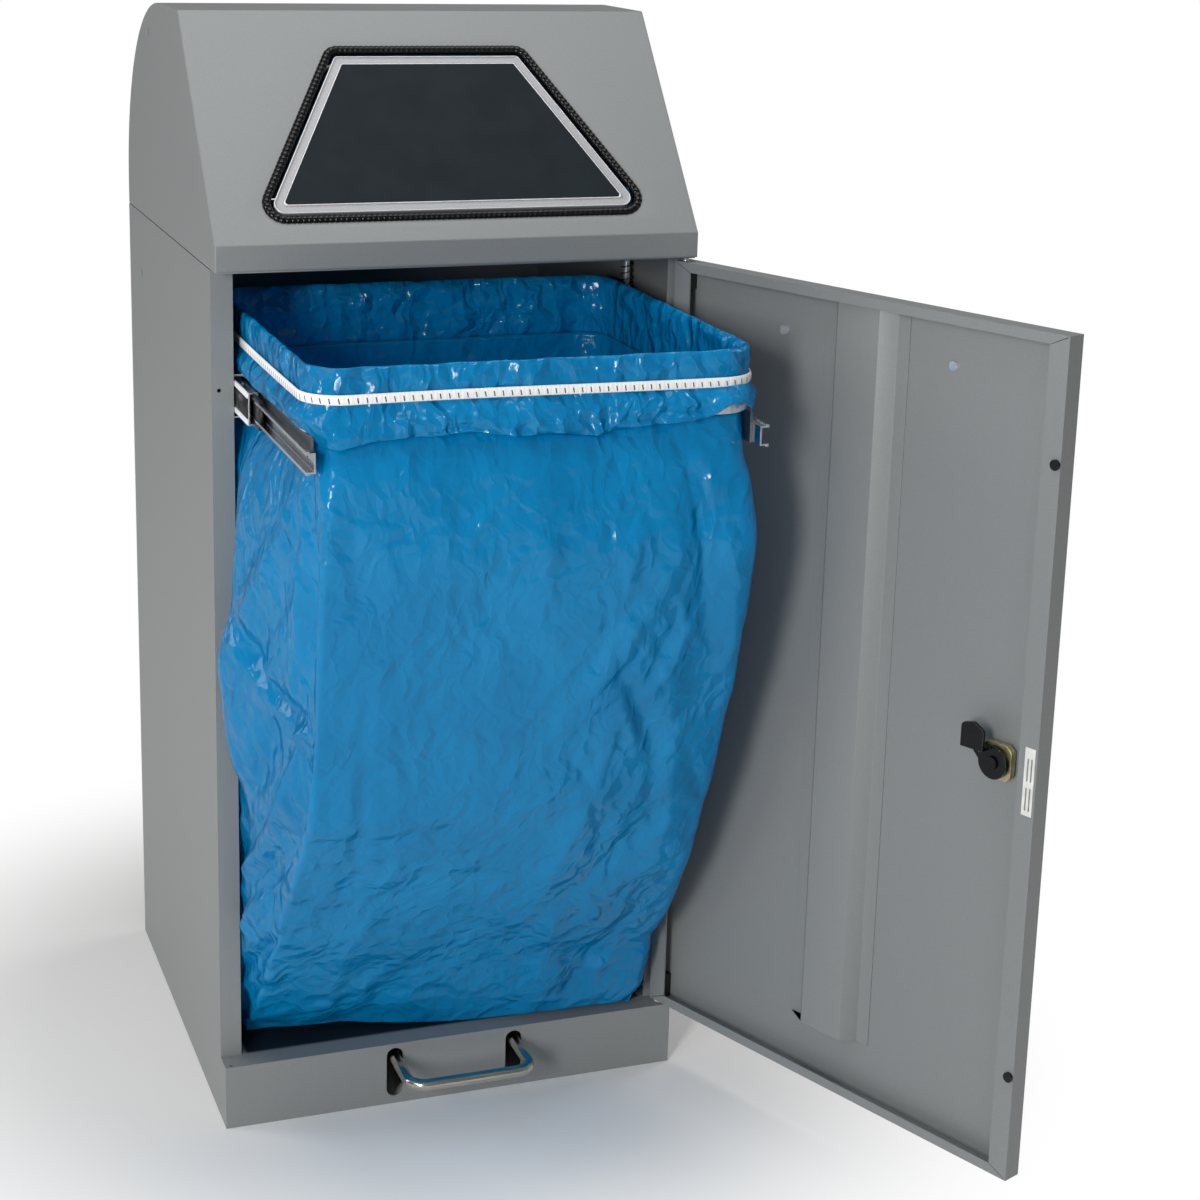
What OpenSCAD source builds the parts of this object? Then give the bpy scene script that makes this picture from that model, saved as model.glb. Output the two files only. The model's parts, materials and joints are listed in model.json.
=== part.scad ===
// Waste collector with a pedal-opened flap: sheet steel cabinet, hinged door and a pull-out bag frame.
// Millimetres. X to the right, Y to the rear, Z up. The origin is on the floor under the cabinet's centre.
// It is drawn as photographed: door swung open, bag frame pulled out, flap closed, pedal up.

/* [Cabinet] */
// Outside width of the cabinet
body_w = 400; // [390:1:440]
// Outside depth of the cabinet
body_d = 400; // [390:1:440]
// Thickness of the sheet steel
sheet_t = 1.5; // [1.2:0.1:1.7]
// Height of the plinth
plinth_h = 56; // [55:0.5:66]
// Height of the body between plinth and hood
body_h = 671; // [640:1:760]
// Distance of the body's front behind the plinth's front
front_set = 20; // [19.5:0.5:24]
// Width of the body's front return flanges
flange_w = 17.6; // [15:0.2:18]
// Width of the flanges that join plinth, body and hood
join_w = 15; // [14.5:0.1:16]
// Width of the plinth's bottom return flange
foot_w = 12; // [8:1:16]

/* [Hood] */
// Height of the hood's upright front band
hood_band = 21.5; // [16:0.5:24]
// Height of the hood
hood_h = 191; // [186:1:200]
// Horizontal run of the sloping front
slope_run = 141.5; // [138:0.5:150]
// Radius of the rounded rear edge of the hood
hood_r = 171; // [120:1:175]

/* [Flap] */
// Lower edge of the edging, measured up the slope from the fold
trim_low = 18.6; // [16:0.2:22]
// Upper edge of the edging, measured up the slope
trim_high = 185; // [180:1:190]
// Half width of the edging at its lower edge
trim_half_low = 169.5; // [160:0.5:172]
// Half width of the edging at its upper edge
trim_half_high = 83.8; // [80:0.2:88]
// Corner radius of the edging at its lower corners
trim_r_low = 18; // [14:0.5:22]
// Corner radius of the edging at its upper corners
trim_r_high = 14; // [12:0.5:18]
// Visible width of the edging
trim_w = 7; // [6:0.5:8]
// Height of the edging over the sheet
trim_rise = 3; // [2:0.25:4]
// Gap between edging and flap
flap_gap = 2.8; // [2.2:0.1:3.6]
// Width of the flap's visible border
flap_border = 7.8; // [5:0.1:10]
// Depth of the flap's folded rim
flap_rim = 7.5; // [5:0.5:9]
// Distance of the flap's axle up the slope
axle_s = 170; // [166:0.5:171]
// Depth of the axle behind the slope's face
axle_in = 10; // [9.5:0.5:12]
// Radius of the axle
axle_r = 4; // [3:0.25:4.5]
// Angle through which the flap opens
flap_open = 60; // [50:1:62]

/* [Pedal drive] */
// Height of the pedal above the floor
pedal_z = 43.5; // [42:0.25:44.5]
// Half distance between the pedal's legs
pedal_half = 53.5; // [45:0.5:60]
// Radius of the pedal's round bar
pedal_r = 5; // [4:0.25:5.5]
// Distance of the pedal's bar in front of the plinth
pedal_out = 54; // [45:1:60]
// Inside bend radius of the pedal's bar
pedal_bend = 15; // [12:0.5:20]
// Angle through which the pedal goes down
pedal_press = 17.6; // [16:0.1:18]
// Width of the pedal slots
slot_w = 14.5; // [13:0.5:18]
// Lower end of the pedal slots
slot_low = 7; // [5:0.5:8]
// Length of the flap's crank
crank_len = 22; // [20:0.5:22]
// Radius of the crank pin
crank_pin_r = 2.5; // [2:0.1:3]
// Radius of the cross shaft
shaft_r = 5; // [4:0.25:5]
// Radius of the shoe at the arm's end
shoe_r = 7; // [6:0.25:7.5]
// Radius of the push rod
rod_r = 3; // [2.5:0.1:3.2]
// Distance of the push rod from the cabinet's side
rod_in = 9; // [8.8:0.1:9.2]
// Wire thickness of the rod's return spring
wire_d = 1.4; // [1:0.1:1.6]
// Turns of the rod's return spring
spring_turns = 12; // [8:1:14]
// Length of the rod's return spring
spring_len = 60; // [50:1:80]

/* [Door] */
// Thickness of the folded door
door_t = 16; // [14:0.5:16.5]
// Gap above and below the door
door_gap = 3; // [2.5:0.25:4]
// Distance of the door's edges from the cabinet's sides
door_side = 2; // [1.5:0.25:3]
// Distance of the door's face behind the plinth's front
door_set = 1; // [0.5:0.25:1.5]
// Width of the door's side lips
lip_side = 17; // [14:0.5:20]
// Width of the door's top and bottom lips
lip_end = 8; // [6:0.5:12]
// Gap at the mitred corners of the lips
mitre_gap = 0.6; // [0.4:0.1:1]
// Distance of the hinge pin from the door's edge
pin_in = 4.5; // [4.4:0.1:5]
// Depth of the hinge pin behind the door's face
pin_deep = 8.8; // [8.4:0.1:8.9]
// Radius of the hinge pins
pin_r = 2.5; // [2:0.1:2.6]
// Angle at which the door stands open
door_open = 112.5; // [100:0.5:150]
// Lower end of the door's stiffener above the floor
stiff_low = 105; // [90:1:140]
// Half width of the stiffener's raised face
stiff_half = 21; // [16:0.5:30]
// Height of the stiffener over the skin
stiff_rise = 12; // [8:0.5:13]
// Run of the stiffener's sloping sides
stiff_run = 10; // [6:0.5:14]
// Width of the stiffener's flanges
stiff_flange = 11.5; // [8:0.5:16]
// Distance of the lock from the door's free edge
lock_in = 42; // [40:0.5:43]
// Height of the lock above the floor
lock_z = 391; // [340:1:440]
// Radius of the cam's round boss
cam_r = 13; // [11:0.5:14]
// Reach of the cam's tongue from the lock's axis
cam_reach = 31; // [30:0.5:33]
// Radius of the door's rubber buffers
buffer_r = 4; // [3:0.25:5]
// Height of the upper buffer above the floor
buffer_high = 630; // [600:1:640]
// Height of the lower buffer above the floor
buffer_low = 146.5; // [120:0.5:180]

/* [Slides and bag] */
// Distance of the slides' rear ends from the rear wall
slide_back = 26.5; // [16:0.5:40]
// Distance of the slides below the body's top
slide_drop = 101; // [95:1:110]
// Height of the cabinet member
cab_h = 35; // [34:0.5:36]
// Height of the middle member
mid_h = 26; // [25.5:0.25:27]
// Height of the inner member
inner_h = 17; // [16.5:0.25:18]
// Steel thickness of the slide members
slide_t = 1.2; // [1:0.1:1.4]
// Distance by which the bag frame is pulled out
frame_out = 220; // [200:1:225]
// Distance by which the middle members are pulled out
mid_out = 49; // [40:1:110]
// Height of the bag frame's ring
ring_h = 48; // [40:1:55]
// Thickness of the ring's steel strip
ring_t = 2; // [1.5:0.25:2.5]
// Distance by which the ring is shorter than the slides
ring_short = 15; // [10:1:24]
// Corner radius of the ring
ring_r = 28; // [22:1:40]
// Thickness of the bag's film in this model
film_t = 1.2; // [0.8:0.1:1.4]
// Height of the elastic band
elastic_h = 8; // [6:0.5:10]
// Drop of the elastic band below the ring's top
elastic_drop = 18; // [10:1:26]

/* [Hidden] */
$fn = 64;

// Small fits and standard pieces
run_fit = 0.08;
rest_gap = 0.3;
eps = 0.01;
screw_r = 2.5;
screw_head_r = 4;
rivet_r = 2;
bush_r = 4.5;

// Cabinet planes
hx = body_w / 2;
fy = -body_d / 2;
by = body_d / 2;
in_x = hx - sheet_t;
shelf_z = plinth_h - sheet_t;
body_y = fy + front_set;
hood_z = plinth_h + body_h;
top_z = hood_z + hood_h;
band_z = hood_z + hood_band;
slope_a = atan2(hood_h - hood_band, slope_run);
screw_x = hx - 9;
lug_x = 60;
lug_t = 2;
skin_x = 86;
skin_drop = 42;
tab_rise = 18;
tab_y = 70;
tab_w = 30;
screw_y = [fy + 40, by - 50];
rivet_body = [by - 62, hood_z - 55];
rivet_hood = [by - 120, top_z - 27];

// Axle, crank and rod
axle_y = fy + axle_s * cos(slope_a) + axle_in * sin(slope_a);
axle_z = band_z + axle_s * sin(slope_a) - axle_in * cos(slope_a);
crank_a = flap_open / 2;
pin_y = axle_y + crank_len * cos(crank_a);
pin_z = axle_z - crank_len * sin(crank_a);
rod_x = hx - rod_in;
rod_y = axle_y + crank_len * (1 + cos(crank_a)) / 2;
rod_rise = 2 * crank_len * sin(crank_a);
arm_len = rod_rise / sin(pedal_press);
shaft_y = rod_y - arm_len * (1 + cos(pedal_press)) / 2;
arm_y = shaft_y + arm_len * cos(pedal_press);
arm_z = pedal_z - arm_len * sin(pedal_press);
foot_z = arm_z + shoe_r + rest_gap;
foot_h = 3;
hub_r = shaft_r + 4;
hub_w = 16;
pedal_y = fy - pedal_out;
lever_x = rod_x - 8;
lever_t = 4;
head_t = 5;
spring_top = hood_z - sheet_t - rest_gap;
spring_low = spring_top - spring_len;
coil_r = rod_r + 0.9 + wire_d / 2;
bearing_x = trim_half_high + 14.7;
bearing_t = 3;

// Door
door_x = hx - door_side;
door_y = fy + door_set;
door_in = door_y + door_t;
door_low = plinth_h + door_gap;
door_high = hood_z - door_gap;
pivot = [door_x - pin_in, door_y + pin_deep, 0];
lock_x = -door_x + lock_in;
tongue_y = body_y + sheet_t + 0.7;

// Slides and bag frame
slide_z = hood_z - slide_drop;
face_x = hx - flange_w - 11.9;
mid_x = hx - flange_w - 1.6;
cab_x = hx - flange_w + 0.8;
cab_y = body_y + sheet_t + 0.5;
slide_len = by - sheet_t - slide_back - cab_y;
ring_d = slide_len - ring_short;
mid_y = cab_y - mid_out;
inner_y = cab_y - 5 - frame_out;
ball_gap = 0.3;
cage_front = 23;
ring_x = face_x + ring_t;
ring_y = inner_y + 10.5;
ring_low = slide_z + cab_h / 2 - 1.5;
ring_high = ring_low + ring_h;
strip_t = 2;
film_gap = 0.4;
collar_z = ring_low + 2;
bag_floor = plinth_h + 2.5;

// A rounded corner at p between its neighbours a and b
function unit(v) = v / norm(v);
function corner(p, a, b, r, n) =
  let (
    u = unit(a - p),
    w = unit(b - p),
    h = acos(u * w) / 2,
    c = p + unit(u + w) * r / sin(h),
    s = p + u * r / tan(h) - c,
    e = p + w * r / tan(h) - c,
    a0 = atan2(s.y, s.x),
    da = (atan2(e.y, e.x) - a0 + 540) % 360 - 180
  )
  [for (i = [0 : n]) c + r * [cos(a0 + da * i / n), sin(a0 + da * i / n)]];

// A polygon with a radius at each corner
function rounded(p, r, n = 8) =
  let (k = len(p))
  [for (i = [0 : k - 1]) each (r[i] > 0
    ? corner(p[i], p[(i + k - 1) % k], p[(i + 1) % k], r[i], n)
    : [p[i]])];

// The flap opening's trapezoid on the slope, moved in by d
side_a = atan2(trim_half_low - trim_half_high, trim_high - trim_low);
function trap(d) =
  let (
    k = tan(side_a),
    c = cos(side_a),
    wl = trim_half_low - d * k - d / c,
    wh = trim_half_high + d * k - d / c
  )
  [[-wl, trim_low + d], [wl, trim_low + d], [wh, trim_high - d], [-wh, trim_high - d]];
function trap_radii(d) =
  let (a = max(trim_r_low - d, 2.5), b = max(trim_r_high - d, 1.5))
  [a, a, b, b];

module trap_plate(d, n0, n1)
  translate([0, 0, n0])
    linear_extrude(n1 - n0)
      polygon(rounded(trap(d), trap_radii(d)));

module trap_frame(d0, d1, n0, n1)
  difference() {
    trap_plate(d0, n0, n1);
    trap_plate(d1, n0 - 1, n1 + 1);
  }

// X along the cabinet, Y up the slope, Z out of the slope
module on_slope()
  translate([0, fy, band_z])
    rotate([slope_a, 0, 0])
      children();

// A flat shape drawn in X and Z, from y0 to y0 + h
module xz(y0, h)
  translate([0, y0 + h, 0])
    rotate([90, 0, 0])
      linear_extrude(h)
        children();

// A flat shape drawn in Y and Z, from x0 to x0 + h
module yz(x0, h)
  translate([x0, 0, 0])
    rotate([90, 0, 90])
      linear_extrude(h)
        children();

module rod_along_x(x0, x1, y, z, r)
  translate([x0, y, z])
    rotate([0, 90, 0])
      cylinder(r = r, h = x1 - x0);

module rod_along_y(y0, y1, x, z, r)
  translate([x, y1, z])
    rotate([90, 0, 0])
      cylinder(r = r, h = y1 - y0);

module both_sides() {
  children();
  mirror([1, 0, 0])
    children();
}

module box(a, b)
  translate(a)
    cube(b - a);

// The door's pieces are drawn closed and swung open about the hinge
module swung()
  translate(pivot)
    rotate([0, 0, door_open])
      translate(-pivot)
        children();

module screw_places(z)
  both_sides()
    for (y = screw_y)
      translate([screw_x, y, z])
        children();

// Plinth: folded box with a closed top, two pedal slots and a bottom return flange
module plinth()
  color("slategray")
    difference() {
      box([-hx, fy, 0], [hx, by, plinth_h]);
      box([-in_x, fy + sheet_t, sheet_t], [in_x, by - sheet_t, shelf_z]);
      box([-hx + foot_w, fy + foot_w, -1], [hx - foot_w, by - foot_w, sheet_t + eps]);
      both_sides()
        translate([pedal_half, 0, 0])
          pedal_slot();
      translate([rod_x, rod_y, shelf_z - 1])
        cylinder(r = bush_r, h = sheet_t + 2);
      translate([pivot.x, pivot.y, shelf_z - 1])
        cylinder(r = bush_r, h = sheet_t + 2);
      translate([-hx + 5.5, fy + 3.7, shelf_z - 1])
        cylinder(r = 1.5, h = sheet_t + 2);
      screw_places(shelf_z - 1)
        cylinder(r = screw_r, h = sheet_t + 2);
    }

module pedal_slot() {
  slot_high = pedal_z + pedal_r + 3.5;
  rod_along_y(fy - 1, fy + sheet_t + 1, 0, slot_low + slot_w / 2, slot_w / 2);
  rod_along_y(fy - 1, fy + sheet_t + 1, 0, slot_high - slot_w / 2, slot_w / 2);
  box([-slot_w / 2, fy - 1, slot_low + slot_w / 2],
      [slot_w / 2, fy + sheet_t + 1, slot_high - slot_w / 2]);
}

// Body: one sheet wrapped round both sides and the rear, with front returns and joining flanges
module body_shell()
  color("gray")
    difference() {
      union() {
        both_sides() {
          box([in_x, body_y, plinth_h], [hx, by, hood_z]);
          box([hx - flange_w, body_y, plinth_h], [hx, body_y + sheet_t, hood_z]);
          box([hx - join_w, body_y, plinth_h], [hx, by, plinth_h + sheet_t]);
          box([hx - join_w, body_y, hood_z - sheet_t], [hx, by, hood_z]);
        }
        box([-hx, by - sheet_t, plinth_h], [hx, by, hood_z]);
        box([-hx, by - join_w, plinth_h], [hx, by, plinth_h + sheet_t]);
        box([-hx, by - join_w, hood_z - sheet_t], [hx, by, hood_z]);
      }
      for (z = [plinth_h - 1, hood_z - sheet_t - 1]) {
        translate([rod_x, rod_y, z])
          cylinder(r = bush_r, h = sheet_t + 2);
        screw_places(z)
          cylinder(r = screw_r, h = sheet_t + 2);
      }
      rod_along_y(body_y - 1, body_y + sheet_t + 1, -hx + 5.9, hood_z - 95.5, 1.6);
      both_sides()
        rod_along_x(in_x - 1, hx + 1, rivet_body.x, rivet_body.y, rivet_r);
    }

// The hood's outline in Y and Z, moved in by o
module hood_profile(o) {
  fold = band_z + o * (tan(slope_a) - 1 / cos(slope_a));
  crest = fy + slope_run + o * (1 / sin(slope_a) - 1 / tan(slope_a));
  arc_y = by - hood_r;
  arc_z = top_z - hood_r;
  foot = hood_z - (o > 0 ? 1 : 0);
  polygon([[fy + o, foot], [fy + o, fold], [crest, top_z - o], [arc_y, top_z - o], [arc_y, foot]]);
  translate([arc_y, foot])
    square([hood_r - o, arc_z - foot]);
  intersection() {
    translate([arc_y, arc_z])
      circle(r = hood_r - o, $fn = 128);
    translate([arc_y - eps, arc_z - eps])
      square(hood_r);
  }
}

// Hood: one sheet folded over band, slope and top and rolled down the rear
module hood_wrap()
  color("darkgray")
    difference() {
      union() {
        difference() {
          yz(-in_x, 2 * in_x)
            hood_profile(0);
          yz(-in_x - 1, 2 * in_x + 2)
            hood_profile(sheet_t);
        }
        box([-in_x, fy + sheet_t / 2, hood_z], [in_x, body_y - 0.5, hood_z + sheet_t]);
      }
      on_slope()
        trap_plate(trim_w / 2, -sheet_t - 2, 2);
      translate([pivot.x, pivot.y, hood_z - 1])
        cylinder(r = bush_r, h = sheet_t + 2);
    }

// Hood cheek: flat side plate with the flange that is screwed to the body
module hood_cheek()
  difference() {
    union() {
      yz(in_x, sheet_t)
        hood_profile(0);
      box([hx - join_w, body_y, hood_z], [in_x + eps, by - sheet_t, hood_z + sheet_t]);
    }
    translate([rod_x, rod_y, hood_z - 1])
      cylinder(r = bush_r, h = sheet_t + 2);
    for (y = screw_y)
      translate([screw_x, y, hood_z - 1])
        cylinder(r = screw_r, h = sheet_t + 2);
    rod_along_x(in_x - 1, hx + 1, rivet_hood.x, rivet_hood.y, rivet_r);
  }

module hood_cheek_right()
  color("silver")
    hood_cheek();

module hood_cheek_left()
  color("silver")
    mirror([1, 0, 0])
      hood_cheek();

// Edging: rubber profile that clips over the sheet's edge round the flap opening
module edge_trim()
  color("black")
    on_slope()
      difference() {
        union() {
          trap_frame(0.6, trim_w - 0.6, 0, trim_rise);
          trap_frame(0, trim_w, 0, trim_rise - 0.8);
          trap_frame(0.6, trim_w, -sheet_t - 3, 0);
        }
        trap_frame(-2, trim_w / 2, -sheet_t, 0);
      }

// Bearings: angle brackets under the slope that carry the flap's axle
module axle_bearing()
  difference() {
    union() {
      box([0, axle_s - 8, -axle_in - 6], [bearing_t, axle_s + 8, -sheet_t]);
      box([0, axle_s - 8, -sheet_t - 2], [16, axle_s + 8, -sheet_t]);
    }
    rod_along_x(-1, bearing_t + 1, axle_s, -axle_in, axle_r + run_fit);
  }

module axle_bearings()
  color("dimgray")
    on_slope() {
      translate([bearing_x, 0, 0])
        axle_bearing();
      mirror([1, 0, 0])
        translate([bearing_x, 0, 0])
          axle_bearing();
      translate([lever_x - 4, 0, 0])
        mirror([1, 0, 0])
          axle_bearing();
    }

// Guides: flanged plastic bushes for the push rod in the floor and in the hood joint
module rod_guide(z0, z1)
  difference() {
    union() {
      translate([rod_x, rod_y, z0])
        cylinder(r = bush_r, h = z1 - z0 + 1);
      translate([rod_x, rod_y, z1])
        cylinder(r = bush_r + 2, h = 2);
    }
    translate([rod_x, rod_y, z0 - 1])
      cylinder(r = rod_r + run_fit, h = z1 - z0 + 6);
  }

module rod_guides()
  color("whitesmoke") {
    rod_guide(shelf_z, plinth_h + sheet_t);
    rod_guide(hood_z - sheet_t, hood_z + sheet_t);
  }

// Hinge bushes: in the hood's front flange and in the plinth's top
module hinge_bushes()
  color("whitesmoke")
    for (z = [shelf_z - 4.5, hood_z])
      translate([pivot.x, pivot.y, z])
        difference() {
          cylinder(r = bush_r, h = 6);
          translate([0, 0, -1])
            cylinder(r = pin_r + run_fit, h = 8);
        }

module hinge_washer()
  color("gainsboro")
    translate([pivot.x, pivot.y, plinth_h])
      difference() {
        cylinder(r = bush_r, h = door_gap - 0.2);
        translate([0, 0, -1])
          cylinder(r = pin_r + run_fit, h = door_gap + 2);
      }

// Shaft bearings: plastic blocks hung under the plinth's top
module shaft_bearings()
  color("dimgray")
    for (x = [-pedal_half - hub_w / 2 - 10.5, pedal_half + hub_w / 2 + 0.5, lever_x - 14])
      difference() {
        box([x, shaft_y - 12, pedal_z - 10], [x + 10, shaft_y + 12, shelf_z]);
        rod_along_x(x - 1, x + 11, shaft_y, pedal_z, shaft_r + run_fit);
      }

// Slide brackets: folded channels between the cabinet's sides and the slides
module slide_bracket(y)
  union() {
    box([cab_x, y, slide_z - cab_h / 2 + 1], [in_x, y + sheet_t, slide_z + cab_h / 2 - 1]);
    box([cab_x, y, slide_z - cab_h / 2 + 1], [cab_x + sheet_t, y + 28, slide_z + cab_h / 2 - 1]);
    box([in_x - sheet_t, y, slide_z - cab_h / 2 + 1], [in_x, y + 28, slide_z + cab_h / 2 - 1]);
  }

module slide_brackets()
  color("lightsteelblue")
    both_sides() {
      slide_bracket(cab_y + 10);
      slide_bracket(cab_y + slide_len - 42);
    }

// A slide member: a channel with turned-in edges, its web at x0 and its mouth at x1
module slide_profile(x0, x1, h, lip) {
  s = x1 > x0 ? 1 : -1;
  t = slide_t;
  half = [
    [x0 + s * t, h / 2 - t],
    each lip > 0
      ? [[x1 - s * t, h / 2 - t], [x1 - s * t, h / 2 - t - lip], [x1, h / 2 - t - lip]]
      : [[x1, h / 2 - t]],
    [x1, h / 2],
    [x0, h / 2]
  ];
  polygon([each half, for (i = [len(half) - 1 : -1 : 0]) [half[i].x, -half[i].y]]);
}

module slide_cab()
  translate([0, 0, slide_z])
    xz(cab_y, slide_len)
      slide_profile(cab_x, face_x + 3.2, cab_h, 0.8);

module slide_mid()
  difference() {
    translate([0, 0, slide_z])
      xz(mid_y, slide_len)
        slide_profile(mid_x, face_x + 2.6, mid_h, 0.8);
    for (y = [mid_y + 9, mid_y + slide_len / 2, mid_y + slide_len - 12])
      rod_along_x(mid_x - 3, mid_x + 1, y, slide_z, 3.2);
  }

// The inner member's raceways stand out past its web, so its end shows a flanged channel
module slide_inner()
  difference() {
    translate([0, 0, slide_z])
      xz(inner_y, slide_len) {
        slide_profile(face_x, face_x + 7, inner_h - 2, 0);
        for (s = [-1, 1])
          translate([face_x + 4.6, s * (inner_h / 2 - slide_t / 2) - slide_t / 2])
            square([2.4, slide_t]);
      }
    for (y = [inner_y + 20, inner_y + 90, inner_y + slide_len / 2, inner_y + slide_len - 40])
      rod_along_x(face_x - 1, face_x + 3, y, slide_z, 2.6);
  }

module slide_cab_right()
  color("lightgray")
    slide_cab();

module slide_cab_left()
  color("lightgray")
    mirror([1, 0, 0])
      slide_cab();

module slide_mid_right()
  color("white")
    slide_mid();

module slide_mid_left()
  color("white")
    mirror([1, 0, 0])
      slide_mid();

module slide_inner_right()
  color("lightcyan")
    slide_inner();

module slide_inner_left()
  color("lightcyan")
    mirror([1, 0, 0])
      slide_inner();

// Ball cages: plastic strips in the raceways, which travel half way between their two members
module cage(x0, x1, y0, y1, h, wall)
  both_sides()
    for (s = [0, 1])
      translate([0, 0, slide_z])
        mirror([0, 0, s])
          box([x0, y0, h / 2 + ball_gap], [x1, y1, wall / 2 - slide_t - ball_gap]);

module cages_outer()
  color("black")
    cage(face_x + 5, cab_x - slide_t - ball_gap, mid_y + mid_out + 4, mid_y + slide_len - 40, mid_h, cab_h);

module cages_inner()
  color("black")
    cage(face_x + 4, face_x + 7, mid_y - cage_front, inner_y + slide_len - 8, inner_h, mid_h);

// Screws and nuts that join plinth, body and hood
module joint_screws()
  color("silver") {
    screw_places(shelf_z - 6)
      cylinder(r = screw_r, h = 6 + 2 * sheet_t);
    screw_places(plinth_h + sheet_t)
      cylinder(r = screw_head_r, h = 2.5);
    screw_places(hood_z - sheet_t)
      cylinder(r = screw_r, h = 6 + 2 * sheet_t);
    screw_places(hood_z - sheet_t - 2.5)
      cylinder(r = screw_head_r, h = 2.5);
  }

module joint_nuts()
  color("lightgray")
    difference() {
      union() {
        screw_places(shelf_z - 4)
          cylinder(r = 4.6, h = 4, $fn = 6);
        screw_places(hood_z + sheet_t)
          cylinder(r = 4.6, h = 4, $fn = 6);
      }
      screw_places(shelf_z - 5)
        cylinder(r = screw_r, h = 6);
      screw_places(hood_z + sheet_t - 1)
        cylinder(r = screw_r, h = 6);
    }

module side_rivets()
  color("darkgray")
    both_sides()
      for (p = [rivet_body, rivet_hood]) {
        rod_along_x(in_x - 1, hx + eps, p.x, p.y, rivet_r);
        rod_along_x(in_x - 1.2, in_x, p.x, p.y, rivet_r + 1.2);
        rod_along_x(hx, hx + 0.6, p.x, p.y, rivet_r + 1.2);
      }

// Return spring: one wound wire round the push rod, its end turns closing to flats
function spring_z(t) =
  let (k = spring_turns, e = 1)
  t < e ? wire_d * t * 0.8
  : t > k - e ? spring_len - wire_d - wire_d * (k - t) * 0.8
  : wire_d * 0.8 + (t - e) * (spring_len - wire_d * 2.6) / (k - 2 * e);
spring_rings = 12;
spring_sides = 6;
spring_pts = [
  for (i = [0 : spring_turns * spring_rings])
    let (t = i / spring_rings, a = 360 * t)
    for (j = [0 : spring_sides - 1])
      let (b = 360 * j / spring_sides, r = coil_r + wire_d / 2 * cos(b))
      [r * cos(a), r * sin(a), spring_z(t) + wire_d / 2 + wire_d / 2 * sin(b)]
];
spring_faces = [
  [for (j = [0 : spring_sides - 1]) j],
  [for (j = [0 : spring_sides - 1]) spring_turns * spring_rings * spring_sides + spring_sides - 1 - j],
  for (i = [0 : spring_turns * spring_rings - 1])
    for (j = [0 : spring_sides - 1])
      let (a = i * spring_sides + j, b = i * spring_sides + (j + 1) % spring_sides)
      each [[a, a + spring_sides, b], [b, a + spring_sides, b + spring_sides]]
];

module rod_spring()
  color("gold")
    translate([rod_x, rod_y, spring_low])
      polyhedron(spring_pts, spring_faces);

// Bag frame: a strip of flat steel bent to a rounded rectangle
function ring_outline(o) =
  let (x = ring_x - o, y0 = ring_y + o, y1 = ring_y + ring_d - o, r = ring_r - o)
  rounded([[-x, y0], [x, y0], [x, y1], [-x, y1]], [r, r, r, r]);

module ring_band(o0, o1, z0, z1)
  difference() {
    translate([0, 0, z0])
      linear_extrude(z1 - z0)
        polygon(ring_outline(o0));
    translate([0, 0, z0 - 1])
      linear_extrude(z1 - z0 + 2)
        polygon(ring_outline(o1));
  }

module frame_ring()
  color("gainsboro")
    ring_band(0, ring_t, ring_low, ring_high);

// Brackets: strips on the inner members, with tabs that are riveted inside the ring
module frame_bracket()
  difference() {
    union() {
      box([face_x - strip_t, inner_y + 15, slide_z - inner_h / 2],
          [face_x, inner_y + slide_len - 15, ring_low - 0.8]);
      for (y = [inner_y + tab_y, inner_y + slide_len - tab_y])
        box([face_x - strip_t, y - tab_w / 2, ring_low - 2],
            [face_x, y + tab_w / 2, ring_low + tab_rise + 12]);
    }
    for (y = [inner_y + tab_y, inner_y + slide_len - tab_y])
      for (z = [slide_z, ring_low + tab_rise])
        rod_along_x(face_x - strip_t - 1, face_x + 1, y, z, rivet_r);
  }

module frame_bracket_right()
  color("thistle")
    frame_bracket();

module frame_bracket_left()
  color("thistle")
    mirror([1, 0, 0])
      frame_bracket();

// Rivets that hold the brackets: their heads lie on the brackets' inner faces
module frame_rivets()
  color("silver")
    both_sides()
      for (y = [inner_y + tab_y, inner_y + slide_len - tab_y])
        for (z = [slide_z, ring_low + tab_rise]) {
          rod_along_x(face_x - strip_t - 0.2, face_x, y, z, rivet_r);
          rod_along_x(face_x - strip_t - 0.4, face_x - strip_t, y, z, rivet_r + 1);
        }

// Bag: film shell from the floor up, through the ring, over its top and down outside.
// Each level is [height, half width, front, rear, corner radius]; front and rear are from the ring.
bag_levels = [
  [bag_floor, 148, 238, 8, 30],
  [bag_floor + 8, 166, 226, 18, 40],
  [bag_floor + 60, 172, 180, 30, 44],
  [bag_floor + 130, 174, 118, 31, 44],
  [bag_floor + 200, 176, 64, 31, 44],
  [bag_floor + 280, 177, 32, 30, 42],
  [bag_floor + 360, 177, 15, 28, 40],
  [slide_z - 80, 175, 0, 20, 38],
  [slide_z - 22, 167, -6, 6, 34]
];
bag_in = ring_t + strip_t + 2 * film_gap;
function bag_ring(v, o) =
  let (
    x = min(v[1] + hx - 200, face_x - (v[0] > slide_z - 30 ? strip_t + 2 * film_gap : -7)) - o,
    y0 = ring_y + v[2] + o,
    y1 = ring_y + ring_d + v[3] - o,
    r = v[4] - o
  )
  [for (p = rounded([[-x, y0], [x, y0], [x, y1], [-x, y1]], [r, r, r, r]))
    [p.x, p.y, v[0] + (v[0] < bag_floor + 1 ? o : 0)]];
function film_ring(o, z) = [for (p = ring_outline(o)) [p.x, p.y, z]];
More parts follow.
